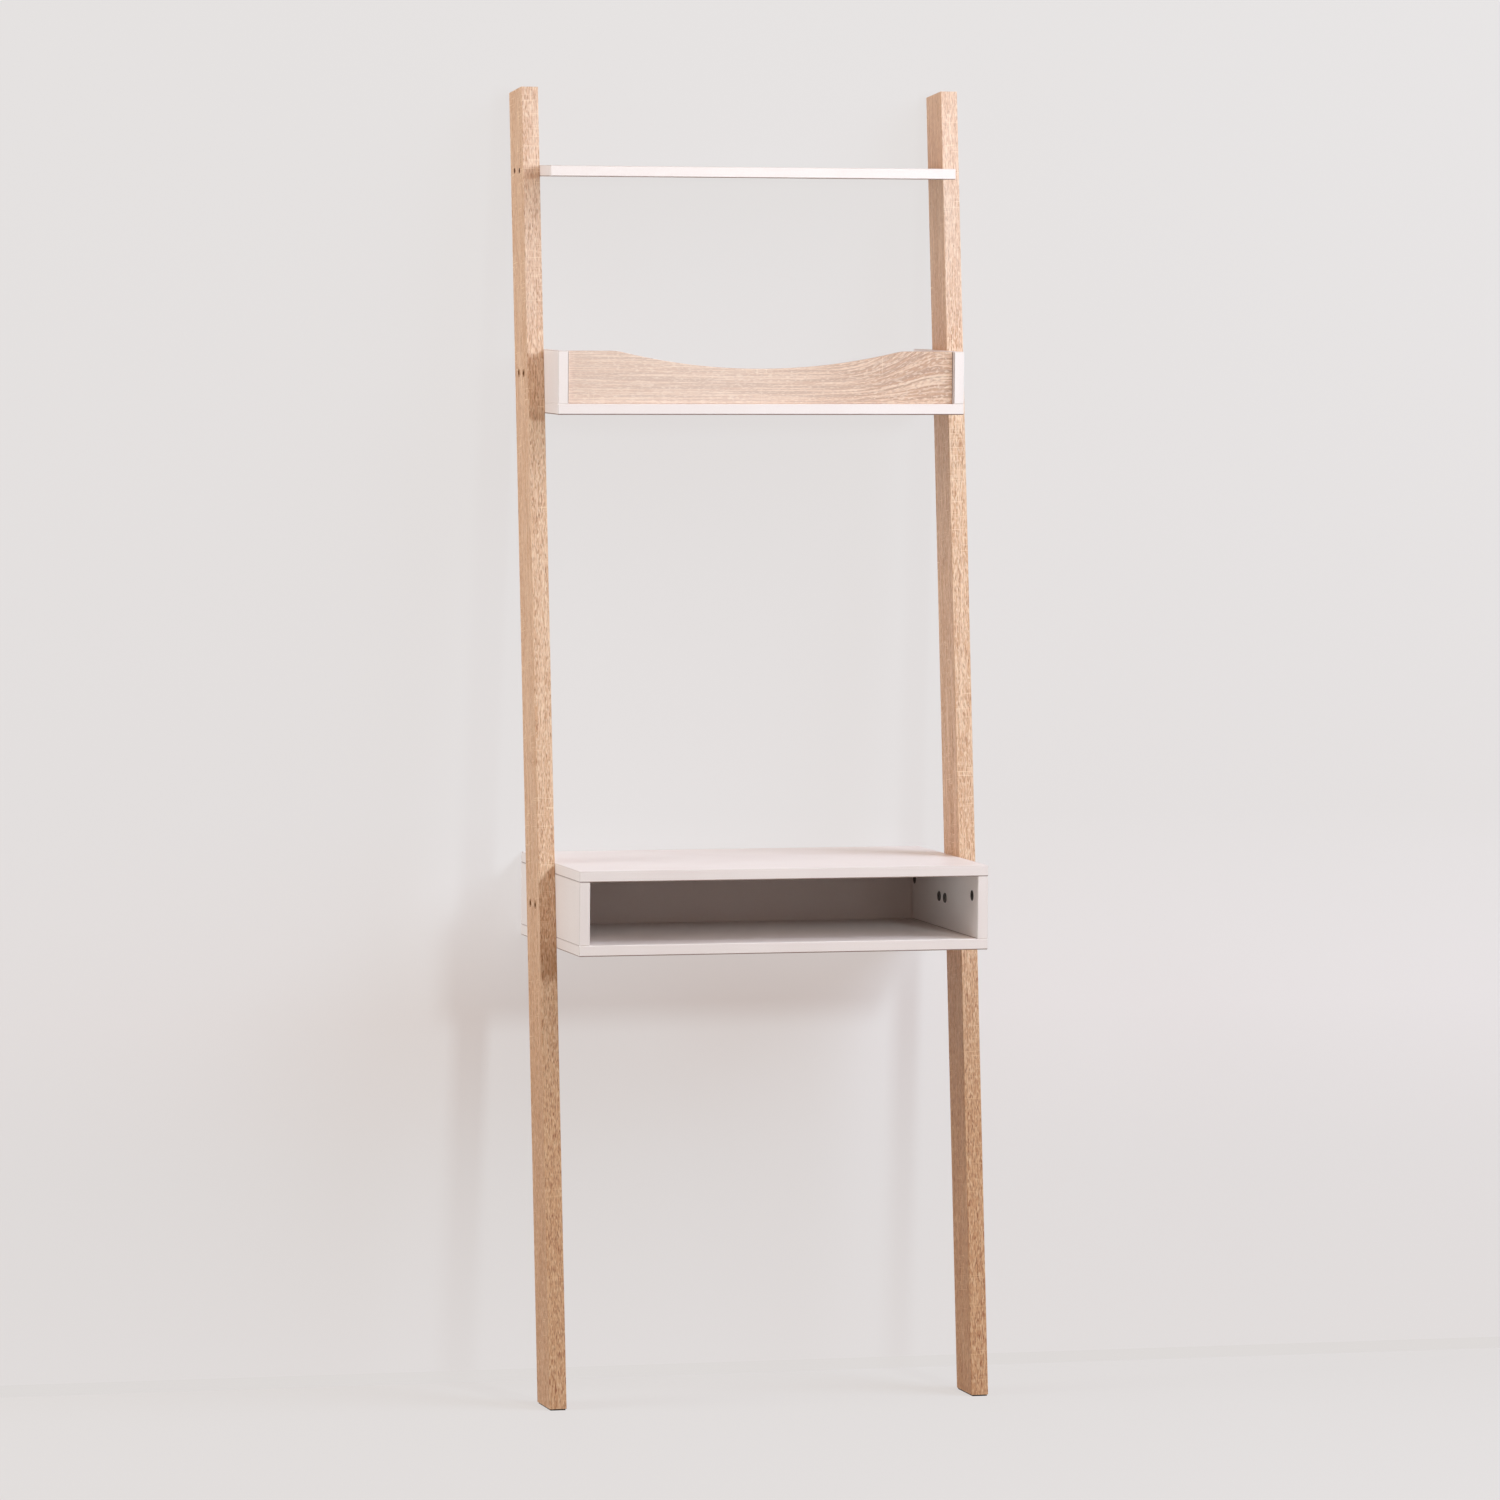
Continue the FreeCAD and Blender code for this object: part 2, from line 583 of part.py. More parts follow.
def make_screws():
    head = ("dims.screw_head_radius", "dims.screw_head_height", "dims.screw_radius")
    hidden = "dims.screw_head_recess"
    rail_screw = screw("rail_screw", *head, f"dims.rail_thickness - {hidden} + dims.rail_screw_grip",
                       "dims.screw_tip_length")
    group("shelf_screws", rail_screw, [
        (moved(place, x=f"{side} * (places.outer_x - {hidden})"), inward(side))
        for word, side in SIDES for place in pair("shelf")])

    board_screw = screw("board_screw", *head, f"dims.board_thickness - {hidden} + dims.board_screw_grip",
                        "dims.screw_tip_length")
    side_places = {front_y: [place for word, side in SIDES for place in side_screw_places(side, front_y)]
                   for front_y in ("places.tray_front_y", "places.desk_front_y")}
    for label, spots, underside in (
            ("tray_side_screws", side_places["places.tray_front_y"], "dims.tray_height"),
            ("tray_front_screws", cross_screw_places("places.shaped_board_y"), "dims.tray_height"),
            ("desk_bottom_screws", side_places["places.desk_front_y"], "places.desk_underside"),
            ("desk_back_screws", cross_screw_places("places.desk_back_y"), "places.desk_underside")):
        group(label, board_screw, [(moved(place, z=f"{underside} + {hidden}"), "+z") for place in spots])

    head_height = "dims.bracket_screw_head_height"
    bracket_screw = screw("bracket_screw", "dims.bracket_screw_head_radius", head_height,
                          "dims.bracket_screw_radius",
                          f"{head_height} + dims.bracket_sheet + dims.bracket_screw_grip",
                          "dims.bracket_screw_tip_length")
    group("wall_bracket_screws", bracket_screw, [
        (moved(place, z=f"places.tray_floor + dims.bracket_sheet + {head_height}"), "-z")
        for place in bracket_screw_places()])


def make_bolts():
    """Flat-head connector bolts through the sides into threaded inserts in the rails."""
    thickness = "dims.bolt_head_thickness"
    bolt = turned_profile("connector_bolt", [
        ("0", f"-{thickness}"), (f"dims.bolt_head_radius - {thickness} / 2", f"-{thickness}"),
        ("dims.bolt_head_radius", f"-{thickness} / 2"), ("dims.bolt_head_radius", "0"),
        ("dims.bolt_radius", "0"), ("dims.bolt_radius", "places.bolt_length"), ("0", "places.bolt_length")])
    key_socket(bolt, f"-{thickness}")
    inner = "dims.bolt_radius + dims.slack"
    insert = turned_profile("rail_insert", [
        (inner, "0"), ("dims.insert_radius", "0"), ("dims.insert_radius", "dims.insert_length"),
        (inner, "dims.insert_length")])
    for joint in ("tray", "desk"):
        group(f"{joint}_bolts", bolt, [
            (moved(place, x=f"{side} * {CROSS_END}"), outward(side))
            for word, side in SIDES for place in pair(joint)])
        group(f"{joint}_rail_inserts", insert, [
            (moved(place, x=f"{side} * places.outer_x"), inward(side))
            for word, side in SIDES for place in pair(joint)])


def make_cams():
    """Cam locks in the desk sides, and the pins that they draw down out of the desk top."""
    cam = turned_profile("cam_lock", [("0", "0"), ("dims.cam_radius", "0"),
                                      ("dims.cam_radius", "dims.cam_length"), ("0", "dims.cam_length")])
    long, wide = "dims.cam_slot_length / 2", "dims.cam_slot_width / 2"
    for name, across, up in (("slot", long, wide), ("cross_slot", wide, long)):
        sketch = new_sketch(cam, f"cam_lock_{name}_sketch", "z")
        add_polygon(sketch, [(f"-({across})", f"-({up})"), (across, f"-({up})"),
                             (across, up), (f"-({across})", up)])
        cut(cam, sketch, f"cam_lock_{name}", "z", 1, "dims.cam_slot_depth")
    head_radius = "dims.pin_shaft_radius"
    bore(cam, "pin_way", "x", [at(z="places.half_board")], f"{head_radius} + dims.slack",
         "dims.cam_radius", -1, "2 * dims.cam_radius")
    below = "dims.pin_head_length / 2"
    shoulder = f"dims.cam_distance - dims.pin_neck_length - {below}"
    pin = turned_profile("cam_pin", [
        ("0", "-dims.pin_thread_length"), ("dims.pin_thread_radius", "-dims.pin_thread_length"),
        ("dims.pin_thread_radius", "0"), (head_radius, "0"), (head_radius, shoulder),
        ("dims.pin_neck_radius", shoulder), ("dims.pin_neck_radius", f"dims.cam_distance - {below}"),
        (head_radius, f"dims.cam_distance - {below}"), (head_radius, f"dims.cam_distance + {below}"),
        ("0", f"dims.cam_distance + {below}")])
    group("desk_cam_locks", cam, [
        (moved(place, x=f"{side} * {CROSS_END}"), outward(side))
        for word, side in SIDES for place in cam_places(side)])
    group("desk_cam_pins", pin, [(moved(place, z="places.desk_joint"), "-z")
                                 for word, side in SIDES for place in cam_places(side)])


def make_dowels():
    """Wooden dowels: the short end sits in a face, the long end in an edge."""
    radius, chamfer, length = "dims.dowel_radius", "dims.dowel_chamfer", "places.dowel_length"
    dowel = turned_profile("wooden_dowel", [
        ("0", "0"), (f"{radius} - {chamfer}", "0"), (radius, chamfer), (radius, f"{length} - {chamfer}"),
        (f"{radius} - {chamfer}", length), ("0", length)])
    depth = "(dims.dowel_face_depth - dims.dowel_end_gap)"
    group("desk_top_dowels", dowel, [(moved(place, z=f"places.desk_joint + {depth}"), "-z")
                                     for word, side in SIDES for place in top_dowel_places(side)])
    for label, spots in (("desk_back_dowels", back_dowel_places()),
                         ("tray_front_dowels", front_dowel_places())):
        group(label, dowel, [(moved(place, x=f"{side} * ({CROSS_END} + {depth})"), inward(side))
                             for word, side in SIDES for place in spots])


def check_document():
    """Stops if a feature failed or cut nothing, or if a piece isn't a sound solid."""
    for item in doc.Objects:
        if any(word in state for state in item.State for word in ("Invalid", "Error")):
            raise RuntimeError(f"{item.Name} failed: {item.State}")
        if item.TypeId == "PartDesign::Pocket" and not (
                item.Shape.Volume < item.BaseFeature.Shape.Volume - TOLERANCE):
            raise RuntimeError(f"{item.Name} cuts nothing")


def write_pieces():
    patterns = {item.LinkedObject.Name for item in doc.Objects if item.TypeId == "App::Link"}
    kinds = ("PartDesign::Body", "Part::Box", "Part::Compound")
    pieces = [item for item in doc.Objects if item.TypeId in kinds and item.Name not in patterns]
    for piece in pieces:
        shape = piece.Shape
        if shape.isNull() or not shape.isValid() or not shape.Solids:
            raise RuntimeError(f"{piece.Label} isn't a sound solid")
    os.makedirs("parts", exist_ok=True)
    for piece in pieces:
        piece.Shape.exportStep(f"parts/{piece.Label}.step")
    print(len(pieces), "nodes,", sum(len(piece.Shape.Solids) for piece in pieces), "solids")


fill_sheets()
make_rails()
make_shelf()
make_tray()
make_desk()
make_brackets()
make_screws()
make_bolts()
make_cams()
make_dowels()
doc.recompute()
check_document()
write_pieces()
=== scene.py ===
import math

import bpy
from mathutils import Matrix, Vector


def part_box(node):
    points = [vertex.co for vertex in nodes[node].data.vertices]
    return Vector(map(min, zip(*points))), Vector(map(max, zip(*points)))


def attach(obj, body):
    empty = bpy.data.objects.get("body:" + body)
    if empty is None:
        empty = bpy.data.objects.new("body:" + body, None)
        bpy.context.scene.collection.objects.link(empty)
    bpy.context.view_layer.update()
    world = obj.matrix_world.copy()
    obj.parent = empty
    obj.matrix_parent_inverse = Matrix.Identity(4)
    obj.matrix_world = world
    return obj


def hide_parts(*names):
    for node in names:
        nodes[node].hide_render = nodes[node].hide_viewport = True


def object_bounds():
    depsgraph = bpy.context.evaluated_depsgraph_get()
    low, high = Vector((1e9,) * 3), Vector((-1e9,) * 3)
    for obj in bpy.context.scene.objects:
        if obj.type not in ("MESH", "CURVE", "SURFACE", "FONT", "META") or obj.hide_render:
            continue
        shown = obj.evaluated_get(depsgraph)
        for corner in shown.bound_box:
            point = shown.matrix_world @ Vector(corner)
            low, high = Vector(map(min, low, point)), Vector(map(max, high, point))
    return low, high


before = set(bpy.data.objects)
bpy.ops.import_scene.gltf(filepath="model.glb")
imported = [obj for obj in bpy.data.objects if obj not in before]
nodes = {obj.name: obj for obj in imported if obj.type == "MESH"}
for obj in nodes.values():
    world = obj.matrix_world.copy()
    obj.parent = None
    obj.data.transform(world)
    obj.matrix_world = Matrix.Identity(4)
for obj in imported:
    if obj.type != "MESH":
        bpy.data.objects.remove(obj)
cad_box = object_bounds()


# --- Rails --------------------------------------------------------------------------------------
# Two flat rails that lean back on the wall and carry everything else. Each is particle board
# wrapped in an oak-pattern paper foil, cut square at the top and level at the foot.

LEAN = math.radians(6.6)


def linear(colour):
    """A colour written as sRGB hex, as the linear RGBA that a shader takes."""
    parts = [int(colour[start:start + 2], 16) / 255 for start in (0, 2, 4)]
    return [part / 12.92 if part <= 0.04045 else ((part + 0.055) / 1.055) ** 2.4
            for part in parts] + [1]


def feed(tree, node, inputs):
    """Sets or links the inputs of a node, given in order or by name."""
    for socket, value in inputs.items() if isinstance(inputs, dict) else enumerate(inputs):
        if isinstance(value, bpy.types.Node):
            value = value.outputs[0]
        if isinstance(value, bpy.types.NodeSocket):
            tree.links.new(value, node.inputs[socket])
        else:
            node.inputs[socket].default_value = value
    return node


def add(tree, kind, inputs=(), **settings):
    """One node of a tree, with its settings made and its inputs set or linked."""
    node = tree.nodes.new(kind)
    for name, value in settings.items():
        setattr(node, name, value)
    return feed(tree, node, inputs)


def total(tree, *terms, start=0.0):
    """A value made up of others: the sum of each times its factor, on top of a start."""
    for value, factor in terms:
        start = add(tree, "ShaderNodeMath", (value, factor, start), operation="MULTIPLY_ADD")
    return start


def product(tree, value, *others):
    """The product of values. That of masks is 1 only where each of them is."""
    for other in others:
        value = add(tree, "ShaderNodeMath", (value, other), operation="MULTIPLY")
    return value


def layered(tree, colour, *layers):
    """A colour with tones laid over it. Each layer is a mask, its share, the tone and how it is laid."""
    for mask, share, tone, how in layers:
        amount = product(tree, mask, share)
        colour = add(tree, "ShaderNodeMix", {0: amount, 6: colour, 7: linear(tone)}, data_type="RGBA",
                     blend_type=how).outputs[2]
    return colour


def material(name):
    """An empty material, with its tree, its shader and the object's own coordinates."""
    made = bpy.data.materials.new(name)
    made.use_nodes = True
    tree = made.node_tree
    place = add(tree, "ShaderNodeTexCoord").outputs["Object"]
    return made, tree, tree.nodes["Principled BSDF"], place


def noise(tree, place, size_mm, low, high, detail=1.0):
    """Soft noise in blobs of size_mm along X, Y and Z, stretched to 0 at low and 1 at high."""
    scale = [1000 / size for size in size_mm]
    grid = add(tree, "ShaderNodeVectorMath", (place, scale), operation="MULTIPLY")
    texture = add(tree, "ShaderNodeTexNoise", {"Vector": grid, "Scale": 1.0, "Detail": detail})
    return add(tree, "ShaderNodeMapRange", (texture, low, high), interpolation_type="SMOOTHSTEP")


# The foil is a print of bleached oak: pale ground, soft streaks along the grain, short brown
# pores, cream flecks and pale marks of the saw across it. The real pores are 0.3 mm wide, and are
# drawn 1.1 mm wide so that they show. It is matt, with the pores pressed a little into it.
PORE = 1.1
WANDER = 0.006  # metres that the grain lines sway by at most
OTHER_PART = (0.37, 0.21, 0.53)  # leads to a stretch of the print that has its own marks
CLIMB_SPAN = (-0.10, -0.26)  # where the tray front's grain lines start to climb, and where fully
CLIMB = -0.6
# width of the dark band at the tray front's ends: the bare core, and painted shade in the gaps beside the
# sides
SAWN_END = 0.0011


def oak_foil(name, turn, shift, pore_mm, fibre_mm, fibre_share, line_share, pale_top=0.0,
             pale_side=0.0, rail=True):
    """The foil with its grain along the turned Z axis, as it is on a rail or on the tray front."""
    made, tree, shader, place = material(name)
    grain = add(tree, "ShaderNodeMapping", {"Vector": place, "Rotation": turn})
    across, _, along = add(tree, "ShaderNodeSeparateXYZ", [grain]).outputs
    if not rail:
        # towards the right end the grain lines climb, the upper ones most
        run = add(tree, "ShaderNodeMapRange", (along, *CLIMB_SPAN), interpolation_type="SMOOTHSTEP")
        height = total(tree, (across, 1.0), start=-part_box("tray_front")[0].z)
        lift = add(tree, "ShaderNodeCombineXYZ", [product(tree, run, CLIMB, height)])
        grain = add(tree, "ShaderNodeVectorMath", (grain, lift))
    sway = {"Scale": 5.0, "Detail": 2.0} if rail else {"Scale": 2.5, "Detail": 0.0}
    wander = add(tree, "ShaderNodeTexNoise", {"Vector": grain, **sway}).outputs["Color"]
    push = add(tree, "ShaderNodeVectorMath", (wander, (WANDER, WANDER, 0.0)), operation="MULTIPLY")
    grain = add(tree, "ShaderNodeVectorMath", (grain, push))
    grain = add(tree, "ShaderNodeVectorMath", (grain, shift))
    beside = add(tree, "ShaderNodeVectorMath", (grain, OTHER_PART))

    bands = noise(tree, grain, (17, 17, 380), 0.36, 0.64)
    streaks = noise(tree, grain, (3.2, 3.2, 110), 0.35, 0.65, 2.0)
    fibres = noise(tree, grain, (1.3, 1.3, fibre_mm), 0.42, 0.60, 1.0 if rail else 0.0)
    lines = noise(tree, beside, (1.7, 1.7, fibre_mm * 1.6), 0.52, 0.60, 0.0)
    pores = noise(tree, grain, (PORE, PORE, pore_mm), 0.50, 0.66)
    flecks = noise(tree, beside, (PORE, PORE, pore_mm * 0.8), 0.50, 0.66)
    saw_rows = noise(tree, grain, (45, 45, 1.5), 0.64, 0.70)
    saw_zones = noise(tree, beside, (70, 70, 60), 0.48, 0.58)

    # a rail's side faces show stronger streaks and lines than its front does
    facing = add(tree, "ShaderNodeNewGeometry").outputs["Normal"]
    sideways = add(tree, "ShaderNodeSeparateXYZ", [facing])
    sideways = add(tree, "ShaderNodeMath", [sideways], operation="ABSOLUTE")
    side = add(tree, "ShaderNodeMath", (sideways, 0.7), operation="GREATER_THAN")
    streak_share = total(tree, (side, 0.25), start=0.36)
    line_share = total(tree, (side, 0.22), start=line_share)
    if rail:
        # towards the foot the print is painted warmer and darker, and its pores darker: painted shade
        low = add(tree, "ShaderNodeMapRange", (along, 0.95, 0.30), interpolation_type="SMOOTHSTEP")
        strength = total(tree, (streaks, 0.18), (low, 0.22), (side, -0.10), start=0.48)
    else:
        strength = total(tree, (streaks, 0.18), start=0.42)
    colour = layered(tree, linear("F0D2B9"),
                     (bands, 0.55, "E2BB9B", "MIX"),
                     (streaks, streak_share, "CF9F7A", "MIX"),
                     (fibres, fibre_share, "BD855D", "MIX"),
                     (lines, line_share, "A46C48", "MIX"),
                     (pores, strength, "9C6240", "MIX"),
                     (flecks, strength, "FCE9D4", "MIX"),
                     (product(tree, saw_rows, saw_zones), 0.6, "FBE4CA", "MIX"))
    if rail:
        # the side faces, and the faces between them below the tray, are painted yellower, as painted warm
        # light, and the top is painted paler, as painted light; on the side faces the foot's painted shade
        # is weaker
        foot_shade_share = total(tree, (side, -pale_side), start=1.0)
        high = add(tree, "ShaderNodeMapRange", (along, 1.42, 1.60), interpolation_type="SMOOTHSTEP")
        under = add(tree, "ShaderNodeMapRange", (along, 1.52, 1.38), interpolation_type="SMOOTHSTEP")
        colour = layered(tree, colour,
                         (low, foot_shade_share, "E7D7C4", "MULTIPLY"),
                         (high, pale_top, "F6E2D0", "MIX"),
                         (side, 1.0, "FFF8EC", "MULTIPLY"),
                         (under, total(tree, (side, -1.0), start=1.0), "FFFCF4", "MULTIPLY"))
    else:
        # the print is paler towards the left, and the sawn ends show the brown core, darkened on as painted
        # shade in the gaps beside the tray's sides
        right = add(tree, "ShaderNodeMapRange", (along, 0.08, -0.28), interpolation_type="SMOOTHSTEP")
        reach = add(tree, "ShaderNodeMath", [along], operation="ABSOLUTE")
        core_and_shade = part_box("tray_front")[1].x - SAWN_END
        end = add(tree, "ShaderNodeMath", (reach, core_and_shade), operation="GREATER_THAN")
        colour = layered(tree, colour,
                         (total(tree, (right, -0.28), start=0.58), 1.0, "F9E8DA", "MIX"),
                         (right, 1.0, "F7F5F2", "MULTIPLY"),
                         (end, 0.8, "6B4632", "MIX"))

    bump = add(tree, "ShaderNodeBump", {"Height": pores, "Strength": 0.35, "Distance": 0.00010}, invert=True)
    rough = add(tree, "ShaderNodeMapRange", {"Value": streaks, "To Min": 0.52, "To Max": 0.62})
    feed(tree, shader, {"Base Color": colour, "Normal": bump, "Roughness": rough, "IOR": 1.48})
    return made


def dress(made, *names):
    """Puts a finish on the built pieces of those names."""
    for name in names:
        for slot in nodes[name].material_slots:
            slot.material = made


UPRIGHT = (LEAN, 0, 0)
dress(oak_foil("oak_foil_left_rail", UPRIGHT, (0.31, 0.12, 0.40), pore_mm=9, fibre_mm=40, fibre_share=0.35,
               line_share=0.08, pale_top=0.08, pale_side=0.35), "left_rail")
dress(oak_foil("oak_foil_right_rail", UPRIGHT, (1.73, 0.55, 2.10), pore_mm=9, fibre_mm=40, fibre_share=0.48,
               line_share=0.12, pale_top=0.20), "right_rail")


# --- Foot pads ----------------------------------------------------------------------------------
# A thin pad of foamed rubber is glued under each foot, a little smaller than the foot. It is
# dead matt, with the fine grit of a skived sheet.

made, tree, shader, place = material("foamed_rubber")
grit = noise(tree, place, (0.9, 0.9, 0.9), 0.40, 0.62, 2.0)
colour = layered(tree, linear("2A2725"), (grit, 1.0, "3D3936", "MIX"))
bump = add(tree, "ShaderNodeBump", {"Height": grit, "Strength": 0.5, "Distance": 0.0001})
feed(tree, shader, {"Base Color": colour, "Normal": bump, "Roughness": 0.9})
dress(made, "left_foot_pad", "right_foot_pad")


# --- White boards -------------------------------------------------------------------------------
# Shelf, tray and desk box are 15 mm particle board with a warm white melamine face, pressed with
# a fine orange-peel texture, and with edging of the same white. Where the edging is trimmed, the
# brown core shows as a thin line. Along the lower edges and inside the tray's side fronts it is
# painted darker and wider, as painted shade, and the faces round the compartment are painted
# greyer towards the back, as painted shade.

BOARDS = ("top_shelf", "tray_bottom", "tray_left_side", "tray_right_side", "desk_top", "desk_bottom",
          "desk_left_side", "desk_right_side", "desk_back")
# width in metres of the dark lines, painted shade along the lower edges and beside the tray front
SHADE_LINE = 0.0014
TRIM = 0.0012  # the edging covers the core this far from where two boards meet
END_GAP = 0.001  # the line beside the tray front stops this short of its ends
SKIN = 0.0003  # takes in the faces themselves
# the compartment's grey is painted shade
SHADE_START = -0.10  # how far forward the compartment's grey begins

made, tree, shader, place = material("white_melamine")
peel = noise(tree, place, (1.6, 1.6, 1.6), 0.30, 0.70, 2.0)
clouds = noise(tree, place, (90, 90, 90), 0.30, 0.70)
side, depth, height = add(tree, "ShaderNodeSeparateXYZ", [place]).outputs
facing = add(tree, "ShaderNodeNewGeometry").outputs["Normal"]
outward, _, upward = add(tree, "ShaderNodeSeparateXYZ", [facing]).outputs
sizes = add(tree, "ShaderNodeVectorMath", [facing], operation="ABSOLUTE")
sideways, frontal, level = add(tree, "ShaderNodeSeparateXYZ", [sizes]).outputs
upright = add(tree, "ShaderNodeMath", (level, 0.3), operation="LESS_THAN")

# the trimmed edges face aslant and show the core; below a board and inside the tray they are painted darker,
# as painted shade
squarest = add(tree, "ShaderNodeMath", (sideways, frontal), operation="MAXIMUM")
squarest = add(tree, "ShaderNodeMath", (squarest, level), operation="MAXIMUM")
slanted = add(tree, "ShaderNodeMath", (squarest, 0.8), operation="LESS_THAN")
shade_below = add(tree, "ShaderNodeMath", (upward, -0.5), operation="LESS_THAN")
tray_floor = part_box("tray_bottom")[1].z
inward = add(tree, "ShaderNodeMath", (product(tree, outward, side), 0.0), operation="LESS_THAN")
above = add(tree, "ShaderNodeMath", (height, tray_floor), operation="GREATER_THAN")
shade_inside = product(tree, inward, upright, above)
core_and_shade = product(tree, slanted, total(tree, (shade_below, 0.6), (shade_inside, 0.45), start=0.2))

# where one board stands on another, the edging covers the core
desk_seam = add(tree, "ShaderNodeMath", (height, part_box("desk_bottom")[1].z, TRIM), operation="COMPARE")
front = add(tree, "ShaderNodeMath", (frontal, 0.5), operation="GREATER_THAN")
tray_seam = add(tree, "ShaderNodeMath", (height, tray_floor, TRIM), operation="COMPARE")
seam = add(tree, "ShaderNodeMath", (product(tree, desk_seam, front), tray_seam), operation="MAXIMUM")
core_and_shade = product(tree, core_and_shade, total(tree, (seam, -1.0), start=1.0))

# a dark line is painted along the boards' lower edges, and on the sides beside the tray front: painted shade
# under the edges and in the gap beside the set-back front
for name, share in (("top_shelf", 0.35), ("tray_bottom", 0.95), ("desk_bottom", 0.75), ("desk_top", 0.6)):
    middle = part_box(name)[0].z + SHADE_LINE / 2
    line = add(tree, "ShaderNodeMath", (height, middle, SHADE_LINE / 2), operation="COMPARE")
    core_and_shade = add(tree, "ShaderNodeMath", (core_and_shade, product(tree, line, upright, share)), operation="MAXIMUM")
low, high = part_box("tray_front")
reach = add(tree, "ShaderNodeMath", [side], operation="ABSOLUTE")
line = add(tree, "ShaderNodeMath", (reach, high.x + SHADE_LINE / 2, SHADE_LINE / 2), operation="COMPARE")
flat = add(tree, "ShaderNodeMath", (frontal, 0.9), operation="GREATER_THAN")
beside = add(tree, "ShaderNodeMath", (height, (low.z + high.z) / 2, (high.z - low.z) / 2 - END_GAP),
             operation="COMPARE")
core_and_shade = add(tree, "ShaderNodeMath", (core_and_shade, product(tree, line, flat, beside, 0.6)), operation="MAXIMUM")

# the boards round the compartment are painted a shade greyer, the more the deeper they lie in it: painted
# shade where less light gets in
low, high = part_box("desk_back")
compartment_shade = add(tree, "ShaderNodeMapRange", (depth, SHADE_START, low.y), interpolation_type="SMOOTHSTEP")
for reach, middle, half in ((height, (low.z + high.z) / 2, (high.z - low.z) / 2), (side, 0.0, high.x),
                            (depth, 0.0, low.y)):
    within = add(tree, "ShaderNodeMath", (reach, middle, half + SKIN), operation="COMPARE")
    compartment_shade = product(tree, compartment_shade, within)
colour = layered(tree, linear("F5ECE8"),
                 (clouds, 1.0, "F2E8E4", "MIX"),
                 (peel, 0.25, "EBDFDA", "MIX"),
                 (compartment_shade, total(tree, (sideways, -0.6), start=0.7), "D9D5D3", "MULTIPLY"),
                 (core_and_shade, 1.0, "6E452B", "MIX"))
bump = add(tree, "ShaderNodeBump", {"Height": peel, "Strength": 0.25, "Distance": 0.00006})
rough = add(tree, "ShaderNodeMapRange", {"Value": peel, "To Min": 0.36, "To Max": 0.46})
feed(tree, shader, {"Base Color": colour, "Normal": bump, "Roughness": rough, "IOR": 1.5})
dress(made, *BOARDS)


# --- Tray front ---------------------------------------------------------------------------------
# A board in the rails' oak foil, its grain level, with a long dip sawn out of its top edge. It
# stands a little back between the tray's sides, and its sawn ends are left bare; the brown there is
# also painted shade in the gaps beside the sides.

LEVEL = (0, math.pi / 2, 0)
dress(oak_foil("oak_foil_tray_front", LEVEL, (0.20, 0.70, 0.90), pore_mm=8, fibre_mm=90, fibre_share=1.0,
               line_share=0.80, rail=False), "tray_front")


# --- Rail bolts ---------------------------------------------------------------------------------
# Flat-headed M6 furniture bolts with a dull zinc plate. They go from inside the tray and the desk
# through the sides and into the rails, and are driven home with a hexagon key.

def metal(name, colour, worn, roughness, grit_mm=0.8):
    """A plated or cast metal with fine grit in its shine."""
    made, tree, shader, place = material(name)
    grit = noise(tree, place, (grit_mm,) * 3, 0.35, 0.65, 2.0)
    colour = layered(tree, linear(colour), (grit, 1.0, worn, "MIX"))
    bump = add(tree, "ShaderNodeBump", {"Height": grit, "Strength": 0.2, "Distance": 0.00004})
    rough = add(tree, "ShaderNodeMapRange", {
        "Value": grit, "To Min": roughness - 0.06, "To Max": roughness + 0.08})
    feed(tree, shader, {"Base Color": colour, "Normal": bump, "Roughness": rough, "Metallic": 1.0})
    return made


def fastener_tree(name, *sizes):
    """An empty geometry tree that takes the places, the sizes in metres and the finish."""
    tree = bpy.data.node_groups.new(name, "GeometryNodeTree")
    kinds = [("Places", "Geometry")] + [(size, "Float") for size in sizes] + [("Finish", "Material")]
    for word, kind in kinds:
        tree.interface.new_socket(word, in_out="INPUT", socket_type=f"NodeSocket{kind}")
    tree.interface.new_socket("Geometry", in_out="OUTPUT", socket_type="NodeSocketGeometry")
    return tree, add(tree, "NodeGroupInput").outputs


def by_row(tree, values):
    """Picks a value by the index of the point."""
    switch = add(tree, "GeometryNodeIndexSwitch", data_type="FLOAT")
    while len(switch.index_switch_items) < len(values):
        switch.index_switch_items.new()
    return feed(tree, switch, (add(tree, "GeometryNodeInputIndex"), *values))


def turned(tree, rows, outline=None):
    """A form turned about Z, or with another outline. Each row is a height and a radius."""
    line = add(tree, "GeometryNodeCurvePrimitiveLine")
    line = add(tree, "GeometryNodeResampleCurve", {"Curve": line, "Count": len(rows)})
    height = add(tree, "ShaderNodeCombineXYZ", {2: by_row(tree, [row[0] for row in rows])})
    line = add(tree, "GeometryNodeSetPosition", {"Geometry": line, "Position": height})
    if outline is None:
        outline = add(tree, "GeometryNodeCurvePrimitiveCircle", {"Resolution": 36, "Radius": 1.0})
    return add(tree, "GeometryNodeCurveToMesh", {
        "Curve": line, "Profile Curve": outline, "Scale": by_row(tree, [row[1] for row in rows]),
        "Fill Caps": True})


def prism(tree, sides, radius, depth, turn=(0, 0, 0), centre=(0, 0, 0)):
    """A straight prism about Z, to be cut away."""
    body = add(tree, "GeometryNodeMeshCylinder", {"Vertices": sides, "Radius": radius, "Depth": depth})
    return add(tree, "GeometryNodeTransform", {"Geometry": body, "Rotation": turn, "Translation": centre})


def carved(tree, body, *tools):
    """A form with others cut out of it."""
    cut = add(tree, "GeometryNodeMeshBoolean", {0: body}, operation="DIFFERENCE", solver="EXACT")
    for tool in tools:
        tree.links.new(tool.outputs[0], cut.inputs[1])
    return cut


